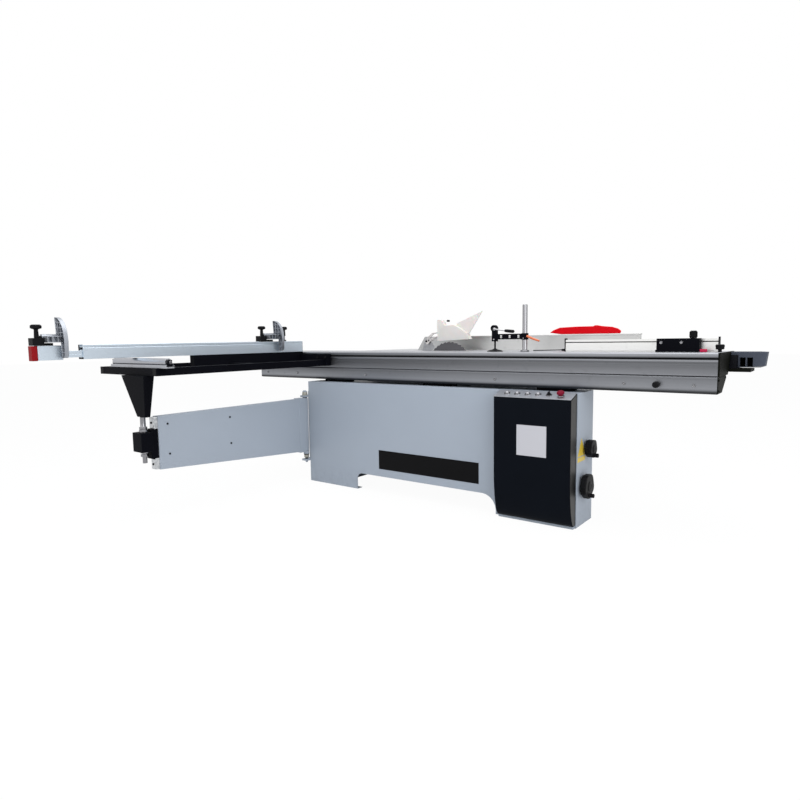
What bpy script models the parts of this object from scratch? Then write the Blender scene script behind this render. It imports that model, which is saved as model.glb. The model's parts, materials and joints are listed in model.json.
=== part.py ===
"""Sliding-table panel saw, as an assembly of separate pieces.

Metres, +Z up. The saw is laid out round its blade: X is 0 in the blade's plane and grows
towards the rip fence, Y is 0 at the arbor and grows in the direction of feed, Z is 0 on the
floor. The last step moves the whole saw so that the origin is the bottom centre of its box.
"""

import math

import bmesh
import bpy
from mathutils import Matrix, Vector

# ---- driving sizes ---------------------------------------------------------------------
WORK_HEIGHT = 0.880          # floor to table top
FIT = 0.0003                 # gap between faces that rest on each other
RUN = 0.0005                 # gap between faces that slide on each other

TABLE_LENGTH = 3.000
TABLE_CENTRE_Y = -0.120
TABLE_WIDTH = 0.383
TABLE_DEPTH = 0.105
BLADE_TO_TABLE = 0.012       # blade plane to the sliding table's inner edge
LIP = 0.009                  # thickness of the table's inner edge
SLOT_WIDTH = 0.014           # T-slot in the table's top
SLOT_DEPTH = 0.014
SLOT_FROM_EDGE = 0.165       # outer face to the T-slot's centre
SIDE_SLOT_DROP = 0.022       # table top to the side slot
SIDE_SLOT = 0.008

BEAM_HEIGHT = 0.0765
BEAM_TOP_WIDTH = 0.200
BEAM_FOOT_WIDTH = 0.105
BEAM_TRACK_WIDTH = 0.060
BEAM_TRACK_DEPTH = 0.018
CAGE_LENGTH = 1.600
PAD_HEIGHT = 0.015           # packing between the cabinet's deck and the beam

SHEET = 0.004
FOOT_FLANGE = 0.045
CABINET_OUTSET = 0.047       # how far the cabinet's near face stands outside the beam
FRONT_BOX_WIDTH = 0.221
FRONT_BOX_INFEED = -1.020
FRONT_BOX_OUTFEED = 0.852
MAIN_BOX_FAR = 0.420
MAIN_BOX_INFEED = -0.700
MAIN_BOX_OUTFEED = 0.680
MAIN_WALL_NEAR = 0.035       # upper walls of the main box start here, clear of the tilting blade
TOE_INFEED = -0.570
TOE_OUTFEED = 0.425
TOE_HEIGHT = 0.105

BLADE_RADIUS = 0.175
BLADE_THICK = 0.0032
KNIFE_THICK = 0.0028
BLADE_SHOWN = 0.058          # blade above the table at rest
FLANGE_RADIUS = 0.045
SHAFT_RADIUS = 0.0125
SCORING_RADIUS = 0.060
SCORING_Y = -0.262
SCORING_SUNK = 0.005

SAW_TABLE_X = 0.006           # blade plane to the saw table's edge
SAW_TABLE_WIDTH = 0.554
SAW_TABLE_INFEED = -0.780
SAW_TABLE_OUTFEED = 0.720
SAW_TABLE_DEPTH = 0.040
SAW_TABLE_PLATE = 0.012
SIDE_TABLE_WIDTH = 0.500
SIDE_TABLE_INFEED = -0.780
SIDE_TABLE_OUTFEED = 0.100

RAIL_RADIUS = 0.020
RAIL_TO_TABLE = 0.055        # table edge to the rail's centre
FENCE_X = 0.150              # rip fence face from the blade plane
RIP_FENCE_HEIGHT = 0.092
RIP_FENCE_THICK = 0.016
RIP_FENCE_INFEED = -1.148
RIP_FENCE_OUTFEED = 0.357

COVER_DEPTH = 0.080
COVER_INFEED = -1.015
COVER_OUTFEED = -0.600
COVER_FOOT = 0.014
COVER_TOP = WORK_HEIGHT - 0.225

ARM_OUTSET = 0.013           # hinge pin of the swing arm outside the cabinet's near face
ARM_Y = 0.874
ARM_THICK = 0.050
ARM_TOP = 0.568
ARM_ROOT_BOTTOM = 0.210
ARM_END_BOTTOM = 0.281
ARM_WALL = 0.003
POST_OUT = 1.170             # pin to the outrigger's post
ARM_REACH = POST_OUT - 0.070  # pin to the arm's open end
POST_BOTTOM = 0.572

FRAME_INFEED = 0.700
FRAME_OUTFEED = 1.265
FRAME_TUBE = 0.040
FRAME_TOP = WORK_HEIGHT - 0.050
ROLLER_RADIUS = 0.020

CROSS_Y = 0.952              # centre line of the crosscut fence
CROSS_THICK = 0.045
CROSS_HEIGHT = 0.072
CROSS_LIFT = 0.003           # crosscut fence above the table top
CROSS_OUT = 1.880
CROSS_IN = 0.410
CROSS_PIVOT_IN = 0.500

RAISE_WHEEL = (-0.322, 0.393)
TILT_WHEEL = (-0.362, 0.206)
WHEEL_SHAFT = 0.008

PANEL_CONTROLS = (
    ("start_button", -0.659, 0.0110), ("stop_button", -0.716, 0.0110),
    ("scoring_start_button", -0.774, 0.0110), ("scoring_stop_button", -0.831, 0.0110),
    ("selector_switch", -0.888, 0.0110), ("emergency_stop", -0.950, 0.0110),
)
PANEL_SHEET = 0.003
CONTROL_ALONG = 0.040

CLAMP_Y = -0.636
CLAMP_TOP = WORK_HEIGHT + 0.259
CLAMP_RADIUS = 0.014
CLAMP_REACH = 0.184
EDGE_INFEED = -1.589
EDGE_OUTFEED = -0.861
EDGE_HEIGHT = 0.062
EDGE_THICK = 0.024
EDGE_PIVOT_Y = -1.487

MOTOR_DROP = 0.263           # arbor centre to motor centre
MOTOR_RADIUS = 0.080
MOTOR_X = (0.1300, 0.370)
PULLEY_X = (0.085, 0.115)
ARBOR_PULLEY = 0.034
MOTOR_PULLEY = 0.040
BELT = 0.005
POST_Y = (-0.1003, 0.1303)   # inner faces of the cradle's guide posts
GUIDE_X = (0.028, 0.060)
CRADLE_END_Y = (-0.350, 0.262)
PLATE = 0.012

GUARD_HALF = 0.018
GUARD_SHEET = 0.003
GUARD_PIVOT = (0.165, 0.055)  # y, and height over the table

STOP_DROP = 0.060            # how far a stop hangs below its seat

# ---- places that follow from them ------------------------------------------------------
TABLE_INNER = -BLADE_TO_TABLE
TABLE_OUTER = TABLE_INNER - TABLE_WIDTH
TABLE_INFEED = TABLE_CENTRE_Y - TABLE_LENGTH / 2
TABLE_OUTFEED = TABLE_CENTRE_Y + TABLE_LENGTH / 2
TABLE_BOTTOM = WORK_HEIGHT - TABLE_DEPTH
SLOT_X = TABLE_OUTER + SLOT_FROM_EDGE
BEAM_TOP = TABLE_BOTTOM - RUN
BEAM_BOTTOM = BEAM_TOP - BEAM_HEIGHT
BEAM_INNER = TABLE_OUTER + BEAM_TOP_WIDTH
TRACK_X = TABLE_OUTER + BEAM_TOP_WIDTH / 2
DECK = BEAM_BOTTOM - FIT - PAD_HEIGHT
CABINET_X = TABLE_OUTER - CABINET_OUTSET
FRONT_BOX_X = CABINET_X + FRONT_BOX_WIDTH
ARBOR_Z = WORK_HEIGHT + BLADE_SHOWN - BLADE_RADIUS
SAW_TABLE_BOTTOM = WORK_HEIGHT - SAW_TABLE_DEPTH
SAW_TABLE_FAR = SAW_TABLE_X + SAW_TABLE_WIDTH
SIDE_TABLE_FAR = SAW_TABLE_FAR + FIT + SIDE_TABLE_WIDTH
RAIL_Y = SAW_TABLE_INFEED - RAIL_TO_TABLE
RAIL_Z = WORK_HEIGHT - SAW_TABLE_DEPTH + 0.005
PANEL_RISE = math.atan2(DECK - COVER_TOP, COVER_DEPTH)
COVER_X = CABINET_X - COVER_DEPTH
ARM_X = CABINET_X - ARM_OUTSET
POST_X = ARM_X - POST_OUT
FRAME_OUT = POST_X - 0.010    # outer side of the outrigger
ARM_END_X = ARM_X - ARM_REACH
FRAME_BOTTOM = FRAME_TOP - FRAME_TUBE
CROSS_BOTTOM = WORK_HEIGHT + CROSS_LIFT
CROSS_TOP = CROSS_BOTTOM + CROSS_HEIGHT

FINISHES = {                 # colour, roughness, metallic
    "powder_coat": ((0.62, 0.66, 0.72), 0.45, 0.0),
    "black_coat": ((0.02, 0.02, 0.025), 0.45, 0.0),
    "aluminium": ((0.72, 0.73, 0.76), 0.35, 1.0),
    "pale_aluminium": ((0.78, 0.81, 0.87), 0.40, 0.6),
    "cast_iron": ((0.42, 0.42, 0.43), 0.40, 1.0),
    "machined_steel": ((0.60, 0.60, 0.61), 0.30, 1.0),
    "chrome": ((0.80, 0.80, 0.82), 0.12, 1.0),
    "saw_steel": ((0.40, 0.40, 0.42), 0.30, 1.0),
    "black_plastic": ((0.025, 0.025, 0.028), 0.40, 0.0),
    "grey_plastic": ((0.16, 0.18, 0.22), 0.45, 0.0),
    "guard_plastic": ((0.86, 0.83, 0.81), 0.35, 0.0),
    "red_plastic": ((0.70, 0.03, 0.04), 0.35, 0.0),
    "motor_paint": ((0.20, 0.28, 0.36), 0.50, 0.0),
    "belt_rubber": ((0.03, 0.03, 0.03), 0.80, 0.0),
}

BODIES = {}


# ---- modelling tools -------------------------------------------------------------------
def link(name, bm):
    """Turns a bmesh into an object with outward faces."""
    bmesh.ops.recalc_face_normals(bm, faces=bm.faces)
    mesh = bpy.data.meshes.new(name)
    bm.to_mesh(mesh)
    bm.free()
    obj = bpy.data.objects.new(name, mesh)
    bpy.context.scene.collection.objects.link(obj)
    return obj


def prism(axis, outline, span):
    """A closed outline, extruded along an axis. Outline points are (y, z), (x, z) or (x, y)."""
    place = {
        "X": lambda a, b, along: (along, a, b),
        "Y": lambda a, b, along: (a, along, b),
        "Z": lambda a, b, along: (a, b, along),
    }[axis]
    bm = bmesh.new()
    face = bm.faces.new([bm.verts.new(place(a, b, span[0])) for a, b in outline])
    extruded = bmesh.ops.extrude_face_region(bm, geom=[face])
    moved = [v for v in extruded["geom"] if isinstance(v, bmesh.types.BMVert)]
    step = Vector(place(0, 0, span[1])) - Vector(place(0, 0, span[0]))
    bmesh.ops.translate(bm, verts=moved, vec=step)
    return link("piece", bm)


def box(x, y, z):
    """A block between two values on each axis."""
    return prism("Z", [(x[0], y[0]), (x[1], y[0]), (x[1], y[1]), (x[0], y[1])], z)


def turned(axis, centre, profile, sides=20):
    """A profile of (radius, place along the axis), turned about an axis through centre."""
    rows = [(0.0, profile[0][1])] + list(profile) + [(0.0, profile[-1][1])]
    bm = bmesh.new()
    verts = [bm.verts.new((radius, 0, along)) for radius, along in rows]
    edges = [bm.edges.new(pair) for pair in zip(verts, verts[1:])]
    bmesh.ops.spin(bm, geom=verts + edges, cent=(0, 0, 0), axis=(0, 0, 1),
                   angle=2 * math.pi, steps=sides, use_merge=True)
    bmesh.ops.remove_doubles(bm, verts=bm.verts, dist=1e-6)
    turn = {
        "X": Matrix(((0, 0, 1), (1, 0, 0), (0, 1, 0))),
        "Y": Matrix(((0, 1, 0), (0, 0, 1), (1, 0, 0))),
        "Z": Matrix.Identity(3),
    }[axis].to_4x4()
    offset = {"X": (0, *centre), "Y": (centre[0], 0, centre[1]), "Z": (*centre, 0)}[axis]
    bmesh.ops.transform(bm, matrix=Matrix.Translation(offset) @ turn, verts=bm.verts)
    return link("piece", bm)


def rod(axis, centre, radius, span, sides=16):
    return turned(axis, centre, [(radius, span[0]), (radius, span[1])], sides)


def combine(target, tool, operation):
    """Applies one Boolean and removes the tool."""
    modifier = target.modifiers.new(operation, "BOOLEAN")
    modifier.operation = operation
    modifier.object = tool
    result = target.evaluated_get(bpy.context.evaluated_depsgraph_get())
    mesh = bpy.data.meshes.new_from_object(result)
    target.modifiers.clear()
    target.data = mesh
    bpy.data.objects.remove(tool)


def union(first, *others):
    for other in others:
        combine(first, other, "UNION")
    return first


def cut(first, *tools):
    for tool in tools:
        combine(first, tool, "DIFFERENCE")
    return first


def tilt_about_y(obj, centre, angle):
    """Turns a piece's mesh about an axis along Y through centre (x, z)."""
    pivot = Matrix.Translation((centre[0], 0, centre[1]))
    obj.data.transform(pivot @ Matrix.Rotation(angle, 4, "Y") @ pivot.inverted())
    return obj


def body(name, parent, anchor):
    """An empty that a moving group hangs on, at a point of its joint's axis."""
    empty = bpy.data.objects.new(name + "_body", None)
    bpy.context.scene.collection.objects.link(empty)
    empty.parent = BODIES[parent][0] if parent else None
    origin = BODIES[parent][1] if parent else Vector((0, 0, 0))
    empty.location = Vector(anchor) - origin
    BODIES[name] = (empty, Vector(anchor))


def piece(obj, name, body_name, finish):
    """Names a finished solid, gives it its material and hangs it on its body."""
    empty, anchor = BODIES[body_name]
    obj.data.transform(Matrix.Translation(-anchor))
    obj.name = name
    obj.data.name = name
    obj.parent = empty
    material = bpy.data.materials.get(finish) or bpy.data.materials.new(finish)
    colour, roughness, metallic = FINISHES[finish]
    material.use_nodes = True
    shader = material.node_tree.nodes["Principled BSDF"]
    shader.inputs["Base Color"].default_value = (*colour, 1)
    shader.inputs["Roughness"].default_value = roughness
    shader.inputs["Metallic"].default_value = metallic
    obj.data.materials.clear()
    obj.data.materials.append(material)
    obj.data.shade_smooth()
    obj.data.set_sharp_from_angle(angle=math.radians(35))
    return obj


# ---- cabinet, control box, tables ------------------------------------------------------
def toe_gap_outline():
    """(y, z) outline of the gap under the cabinet: round upper corners, wider at the infeed."""
    wide, narrow = 0.085, 0.035
    outline = [(TOE_INFEED, -0.01)]
    for step in range(6):
        angle = math.radians(180 - 18 * step)
        outline.append((TOE_INFEED + wide * (1 + math.cos(angle)),
                        TOE_HEIGHT - wide * (1 - math.sin(angle))))
    for step in range(5):
        angle = math.radians(90 - 22.5 * step)
        outline.append((TOE_OUTFEED - narrow * (1 - math.cos(angle)),
                        TOE_HEIGHT - narrow * (1 - math.sin(angle))))
    outline.append((TOE_OUTFEED, -0.01))
    return outline


def make_cabinet():
    front = (CABINET_X, FRONT_BOX_X)
    front_y = (FRONT_BOX_INFEED, FRONT_BOX_OUTFEED)
    main_y = (MAIN_BOX_INFEED, MAIN_BOX_OUTFEED)
    main_top = SAW_TABLE_BOTTOM - FIT
    shell = union(
        box(front, front_y, (0, DECK)),
        box((FRONT_BOX_X - 0.01, MAIN_BOX_FAR), main_y, (0, DECK)),
        box((MAIN_WALL_NEAR, MAIN_BOX_FAR), main_y, (DECK - 0.01, main_top)),
    )
    inner_y = (main_y[0] + SHEET, main_y[1] - SHEET)
    shell = cut(
        shell,
        box((front[0] + SHEET, front[1] - SHEET), (front_y[0] + SHEET, front_y[1] - SHEET),
            (SHEET, DECK - SHEET)),
        box((FRONT_BOX_X, MAIN_BOX_FAR - SHEET), inner_y, (SHEET, WORK_HEIGHT)),
        box((FRONT_BOX_X - 2 * SHEET, FRONT_BOX_X + SHEET), inner_y, (SHEET, DECK - SHEET)),
        box((front[0] + FOOT_FLANGE, front[1] - FOOT_FLANGE),
            (front_y[0] + FOOT_FLANGE, front_y[1] - FOOT_FLANGE), (-0.01, 0.02)),
        box((FRONT_BOX_X - 0.06, MAIN_BOX_FAR - FOOT_FLANGE),
            (main_y[0] + FOOT_FLANGE, main_y[1] - FOOT_FLANGE), (-0.01, 0.02)),
        prism("X", toe_gap_outline(), (CABINET_X - 0.1, MAIN_BOX_FAR + 0.1)),
    )
    pads = [box((TABLE_OUTER + 0.010, TABLE_OUTER + BEAM_FOOT_WIDTH - 0.010),
                (y - 0.09, y + 0.09), (DECK - 0.002, DECK + PAD_HEIGHT))
            for y in (FRONT_BOX_INFEED + 0.15, -0.15, FRONT_BOX_OUTFEED - 0.20)]
    plinth = box((CABINET_X - 0.025, CABINET_X + 0.002), (COVER_INFEED, COVER_OUTFEED),
                 (0, COVER_FOOT - FIT))
    shell = union(shell, plinth, *pads)
    for x, z in (RAISE_WHEEL, TILT_WHEEL):
        shell = cut(shell, rod("Y", (x, z), WHEEL_SHAFT + FIT,
                               (FRONT_BOX_INFEED - 0.01, FRONT_BOX_INFEED + 0.02), 12))
    piece(shell, "cabinet", "base", "powder_coat")


def make_handwheels():
    """Two lobed handwheels on the cabinet's infeed end, each on its own shaft."""
    for name, (x, z), radius, depth in (("raise", RAISE_WHEEL, 0.047, 0.034),
                                        ("tilt", TILT_WHEEL, 0.065, 0.030)):
        body(name + "_wheel", "base", (x, FRONT_BOX_INFEED, z))
        face = FRONT_BOX_INFEED - 0.010
        outline = []
        for step in range(30):
            angle = 2 * math.pi * step / 30
            reach = radius * (1 - 0.10 * (0.5 + 0.5 * math.cos(5 * angle)))
            outline.append((x + reach * math.sin(angle), z + reach * math.cos(angle)))
        wheel = union(prism("Y", outline, (face - depth, face)),
                      rod("Y", (x, z), 0.018, (face - 0.002, FRONT_BOX_INFEED - FIT)),
                      rod("Y", (x, z), WHEEL_SHAFT,
                          (FRONT_BOX_INFEED - 0.005, FRONT_BOX_INFEED + 0.45), 12),
                      rod("Y", (x, z - radius * 0.72), 0.011,
                          (face - depth - 0.022, face - depth + 0.004), 12))
        piece(wheel, name + "_handwheel", name + "_wheel", "black_plastic")


def on_panel(y, along):
    """A point on the sloping control panel: along runs from its front edge to the cabinet."""
    return Vector((COVER_X + along * math.cos(PANEL_RISE), y,
                   COVER_TOP + along * math.sin(PANEL_RISE)))


def cover_outline(inset):
    """(x, z) outline of the control box: upright front that curves back at its foot."""
    bend_z, foot_x = 0.265, CABINET_X - 0.025
    outline = [(CABINET_X - FIT, COVER_FOOT + inset)]
    drop = bend_z - COVER_FOOT - inset
    back = foot_x - COVER_X
    for step in range(9):
        angle = math.radians(90 - 90 * step / 8)
        outline.append((COVER_X + inset + back * (1 - math.cos(angle)),
                        bend_z - drop * math.sin(angle)))
    slope = math.tan(PANEL_RISE)
    outline.append((COVER_X + inset, COVER_TOP + inset * slope - FIT))
    outline.append((CABINET_X - FIT, COVER_TOP + COVER_DEPTH * slope - FIT))
    return outline


def make_control_box():
    y = (COVER_INFEED, COVER_OUTFEED)
    cover = prism("Y", cover_outline(0), y)
    hollow = cover_outline(SHEET)
    hollow[0] = (CABINET_X + 0.01, hollow[0][1])
    hollow[-1] = (CABINET_X + 0.01, DECK + 0.05)
    hollow[-2] = (hollow[-2][0], COVER_TOP + 0.05)
    cover = cut(cover, prism("Y", hollow, (y[0] + SHEET, y[1] - SHEET)))
    piece(cover, "control_cover", "base", "black_coat")

    length = COVER_DEPTH / math.cos(PANEL_RISE) - 2 * FIT
    panel = box((COVER_X, COVER_X + length), y, (COVER_TOP, COVER_TOP + PANEL_SHEET))
    for _name, along_y, radius in PANEL_CONTROLS:
        panel = cut(panel, rod("Z", (COVER_X + CONTROL_ALONG, along_y), radius + FIT,
                               (COVER_TOP - 0.01, COVER_TOP + 0.02)))
    tilt_about_y(panel, (COVER_X, COVER_TOP), -PANEL_RISE)
    piece(panel, "control_panel", "base", "powder_coat")

    for name, along_y, radius in PANEL_CONTROLS:
        body(name, "base", on_panel(along_y, CONTROL_ALONG))
        x, z = COVER_X + CONTROL_ALONG, COVER_TOP
        crown = z + PANEL_SHEET
        profile = [(radius, z - 0.008), (radius, crown + 0.007), (radius - 0.002, crown + 0.009)]
        if name == "emergency_stop":
            profile = [(radius, z - 0.010), (radius, crown + 0.010), (0.019, crown + 0.012),
                       (0.019, crown + 0.019), (0.013, crown + 0.025)]
        knob = turned("Z", (x, along_y), profile)
        if name == "selector_switch":
            knob = union(knob, box((x - 0.010, x + 0.010), (along_y - 0.003, along_y + 0.003),
                                   (crown + 0.008, crown + 0.018)))
        tilt_about_y(knob, (COVER_X, COVER_TOP), -PANEL_RISE)
        finish = "red_plastic" if name == "emergency_stop" else "chrome"
        if name == "selector_switch":
            finish = "black_plastic"
        piece(knob, name, name, finish)


def make_tables():
    y = (SAW_TABLE_INFEED, SAW_TABLE_OUTFEED)
    top = box((SAW_TABLE_X, SAW_TABLE_FAR), y, (SAW_TABLE_BOTTOM, WORK_HEIGHT))
    rim, rib = 0.016, 0.010
    under = WORK_HEIGHT - SAW_TABLE_PLATE
    cells = 4
    pitch = (y[1] - y[0] - 2 * rim + rib) / cells
    for cell in range(cells):
        start = y[0] + rim + cell * pitch
        top = cut(top, box((SAW_TABLE_X + rim, SAW_TABLE_FAR - rim),
                           (start, start + pitch - rib), (SAW_TABLE_BOTTOM - 0.01, under)))
    piece(top, "saw_table", "base", "cast_iron")

    x = (SAW_TABLE_FAR + FIT, SIDE_TABLE_FAR)
    y = (SIDE_TABLE_INFEED, SIDE_TABLE_OUTFEED)
    side = cut(box(x, y, (SAW_TABLE_BOTTOM, WORK_HEIGHT)),
               box((x[0] + SHEET, x[1] - SHEET), (y[0] + SHEET, y[1] - SHEET),
                   (SAW_TABLE_BOTTOM - 0.01, WORK_HEIGHT - SHEET)))
    piece(side, "side_table", "base", "powder_coat")


def make_rip_fence():
    rail = rod("X", (RAIL_Y, RAIL_Z), RAIL_RADIUS, (SAW_TABLE_X + 0.03, SIDE_TABLE_FAR + 0.03), 20)
    for x in (0.08, SAW_TABLE_FAR - 0.10, SIDE_TABLE_FAR - 0.10):
        rail = union(rail, box((x, x + 0.04), (RAIL_Y + RAIL_RADIUS / 2, SAW_TABLE_INFEED - FIT),
                               (RAIL_Z - 0.012, RAIL_Z + 0.012)))
    piece(rail, "rip_fence_rail", "base", "chrome")

    body("rip_fence", "base", (FENCE_X, RAIL_Y, RAIL_Z))
    bottom, top = WORK_HEIGHT + RUN, WORK_HEIGHT + RIP_FENCE_HEIGHT
    x = (FENCE_X, FENCE_X + RIP_FENCE_THICK)
    outline = [(RIP_FENCE_INFEED, bottom), (RIP_FENCE_OUTFEED, bottom),
               (RIP_FENCE_OUTFEED - 0.060, top), (RIP_FENCE_INFEED, top)]
    plate = union(prism("X", outline, x),
                  box((x[0] - 0.003, x[1] + 0.012), (RIP_FENCE_INFEED, RIP_FENCE_OUTFEED - 0.075),
                      (top - 0.008, top + 0.0005)))
    piece(plate, "rip_fence", "rip_fence", "aluminium")

    hx = (x[1] + FIT, x[1] + 0.115)
    rail_top = RAIL_Z + RAIL_RADIUS
    front = RAIL_Y - RAIL_RADIUS - FIT
    head = union(box(hx, (front - 0.020, RAIL_Y + 0.030), (rail_top + RUN, WORK_HEIGHT + 0.030)),
                 box(hx, (RAIL_Y + 0.020, SAW_TABLE_INFEED + 0.160),
                     (WORK_HEIGHT + RUN, WORK_HEIGHT + 0.030)),
                 box(hx, (front - 0.020, front), (RAIL_Z - 0.025, WORK_HEIGHT + 0.010)))
    piece(head, "rip_fence_head", "rip_fence", "cast_iron")

    lever_x = (hx[0] + hx[1]) / 2
    lever_y = front - 0.030
    body("rip_fence_lever", "rip_fence", (lever_x, lever_y, RAIL_Z + 0.010))
    lever = union(rod("X", (lever_y, RAIL_Z + 0.010), 0.0095, (lever_x - 0.02, lever_x + 0.02), 12),
                  box((lever_x - 0.008, lever_x + 0.008), (lever_y - 0.006, lever_y + 0.004),
                      (RAIL_Z - 0.110, RAIL_Z + 0.006)))
    piece(lever, "rip_fence_lever", "rip_fence_lever", "black_plastic")


# ---- sliding table and what stands on it -----------------------------------------------
def table_outline():
    side_top = WORK_HEIGHT - SIDE_SLOT_DROP
    half = SLOT_WIDTH / 2
    return [
        (TABLE_OUTER, TABLE_BOTTOM),
        (TABLE_OUTER, side_top - SIDE_SLOT), (TABLE_OUTER + 0.012, side_top - SIDE_SLOT),
        (TABLE_OUTER + 0.012, side_top), (TABLE_OUTER, side_top),
        (TABLE_OUTER, WORK_HEIGHT),
        (SLOT_X - half, WORK_HEIGHT), (SLOT_X - half, WORK_HEIGHT - SLOT_DEPTH),
        (SLOT_X + half, WORK_HEIGHT - SLOT_DEPTH), (SLOT_X + half, WORK_HEIGHT),
        (TABLE_INNER, WORK_HEIGHT), (TABLE_INNER, WORK_HEIGHT - LIP),
        (TABLE_INNER - 0.078, WORK_HEIGHT - 2 * LIP),
        (BEAM_INNER + 0.020, TABLE_BOTTOM + 0.002), (BEAM_INNER + 0.020, TABLE_BOTTOM),
    ]


def make_sliding_table():
    y = (TABLE_INFEED, TABLE_OUTFEED)
    past = (y[0] - 0.01, y[1] + 0.01)
    low, high = TABLE_BOTTOM + 0.007, WORK_HEIGHT - SLOT_DEPTH - 0.008
    table = prism("Y", table_outline(), y)
    chamber = [(TABLE_OUTER + 0.020, low), (SLOT_X - 0.012, low),
               (SLOT_X - 0.012, high), (TABLE_OUTER + 0.020, high)]
    inner = [(SLOT_X + 0.014, low), (BEAM_INNER + 0.008, low),
             (TABLE_INNER - 0.110, high - 0.010), (TABLE_INNER - 0.110, high),
             (SLOT_X + 0.014, high)]
    table = cut(table, prism("Y", chamber, past), prism("Y", inner, past))
    piece(table, "sliding_table", "sliding_table", "aluminium")

    outline = table_outline()
    cap = [outline[0], outline[5], *outline[10:]]     # the section without its slots
    plate_y = TABLE_INFEED - FIT
    end = union(prism("Y", cap, (plate_y - 0.008, plate_y)),
                box((BEAM_INNER + 0.030, -0.035), (plate_y - 0.098, plate_y - 0.006),
                    (TABLE_BOTTOM + 0.012, TABLE_BOTTOM + 0.026)))
    piece(end, "table_end_plate", "sliding_table", "black_coat")

    hx, hz = (-0.110, -0.020), (TABLE_BOTTOM + 0.0263 + FIT, WORK_HEIGHT - 0.002)
    hy = plate_y - 0.008 - FIT
    outline = [(hx[0], hy), (hx[0], hy - 0.120), (hx[0] + 0.012, hy - 0.138),
               (hx[0] + 0.035, hy - 0.145), (hx[1], hy - 0.112), (hx[1], hy)]
    handle = prism("Z", outline, hz)
    mid = (hz[0] + hz[1]) / 2
    for start in (0.036, 0.066):
        handle = cut(handle, box((hx[0] - 0.01, hx[0] + 0.030),
                                 (hy - start - 0.024, hy - start), (mid - 0.030, mid + 0.012)))
    piece(handle, "push_handle", "sliding_table", "grey_plastic")

    lock_y = TABLE_INFEED + 0.020
    body("slot_knob", "sliding_table", (SLOT_X, lock_y, WORK_HEIGHT))
    knob = turned("Z", (SLOT_X, lock_y), [(0.005, WORK_HEIGHT - SLOT_DEPTH + FIT),
                                          (0.005, WORK_HEIGHT + FIT), (0.008, WORK_HEIGHT + FIT),
                                          (0.008, WORK_HEIGHT + 0.020), (0.019, WORK_HEIGHT + 0.022),
                                          (0.019, WORK_HEIGHT + 0.032), (0.015, WORK_HEIGHT + 0.035)])
    piece(knob, "table_slot_knob", "slot_knob", "black_plastic")


def beam_outline():
    half = BEAM_TRACK_WIDTH / 2
    track = BEAM_TOP - BEAM_TRACK_DEPTH
    return [(TABLE_OUTER, BEAM_BOTTOM), (TABLE_OUTER, BEAM_TOP), (TRACK_X - half, BEAM_TOP),
            (TRACK_X - half, track), (TRACK_X + half, track), (TRACK_X + half, BEAM_TOP),
            (BEAM_INNER, BEAM_TOP), (BEAM_INNER, BEAM_TOP - 0.020),
            (TABLE_OUTER + BEAM_FOOT_WIDTH, BEAM_BOTTOM)]


def make_beam():
    y = (TABLE_INFEED, TABLE_OUTFEED)
    low, high = BEAM_BOTTOM + 0.008, BEAM_TOP - BEAM_TRACK_DEPTH - 0.008
    hollow = [(TABLE_OUTER + 0.010, low), (TABLE_OUTER + BEAM_FOOT_WIDTH - 0.005, low),
              (TABLE_OUTER + BEAM_FOOT_WIDTH + 0.010, low + 0.012),
              (TABLE_OUTER + BEAM_FOOT_WIDTH + 0.010, high), (TABLE_OUTER + 0.010, high)]
    lock_y, lock_z = TABLE_INFEED + 0.248, BEAM_BOTTOM + 0.037
    beam = cut(prism("Y", beam_outline(), y),
               prism("Y", hollow, (y[0] - 0.01, y[1] + 0.01)),
               rod("X", (lock_y, lock_z), 0.005 + FIT, (TABLE_OUTER - 0.01, TABLE_OUTER + 0.02), 12))
    piece(beam, "carrier_beam", "base", "aluminium")

    half = BEAM_TRACK_WIDTH / 2 - FIT
    cage = box((TRACK_X - half, TRACK_X + half),
               (TABLE_CENTRE_Y - CAGE_LENGTH / 2, TABLE_CENTRE_Y + CAGE_LENGTH / 2),
               (BEAM_TOP - BEAM_TRACK_DEPTH + FIT, TABLE_BOTTOM - FIT))
    body("roller_cage", "base", (TRACK_X, TABLE_CENTRE_Y, BEAM_TOP))
    piece(cage, "roller_cage", "roller_cage", "machined_steel")

    body("beam_lock", "base", (TABLE_OUTER, lock_y, lock_z))
    knob = turned("X", (lock_y, lock_z), [(0.011, TABLE_OUTER - 0.030), (0.015, TABLE_OUTER - 0.026),
                                          (0.015, TABLE_OUTER - 0.008), (0.008, TABLE_OUTER - 0.006),
                                          (0.008, TABLE_OUTER - FIT), (0.005, TABLE_OUTER - FIT),
                                          (0.005, TABLE_OUTER + 0.009)], 16)
    piece(knob, "beam_lock_knob", "beam_lock", "black_plastic")


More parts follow.
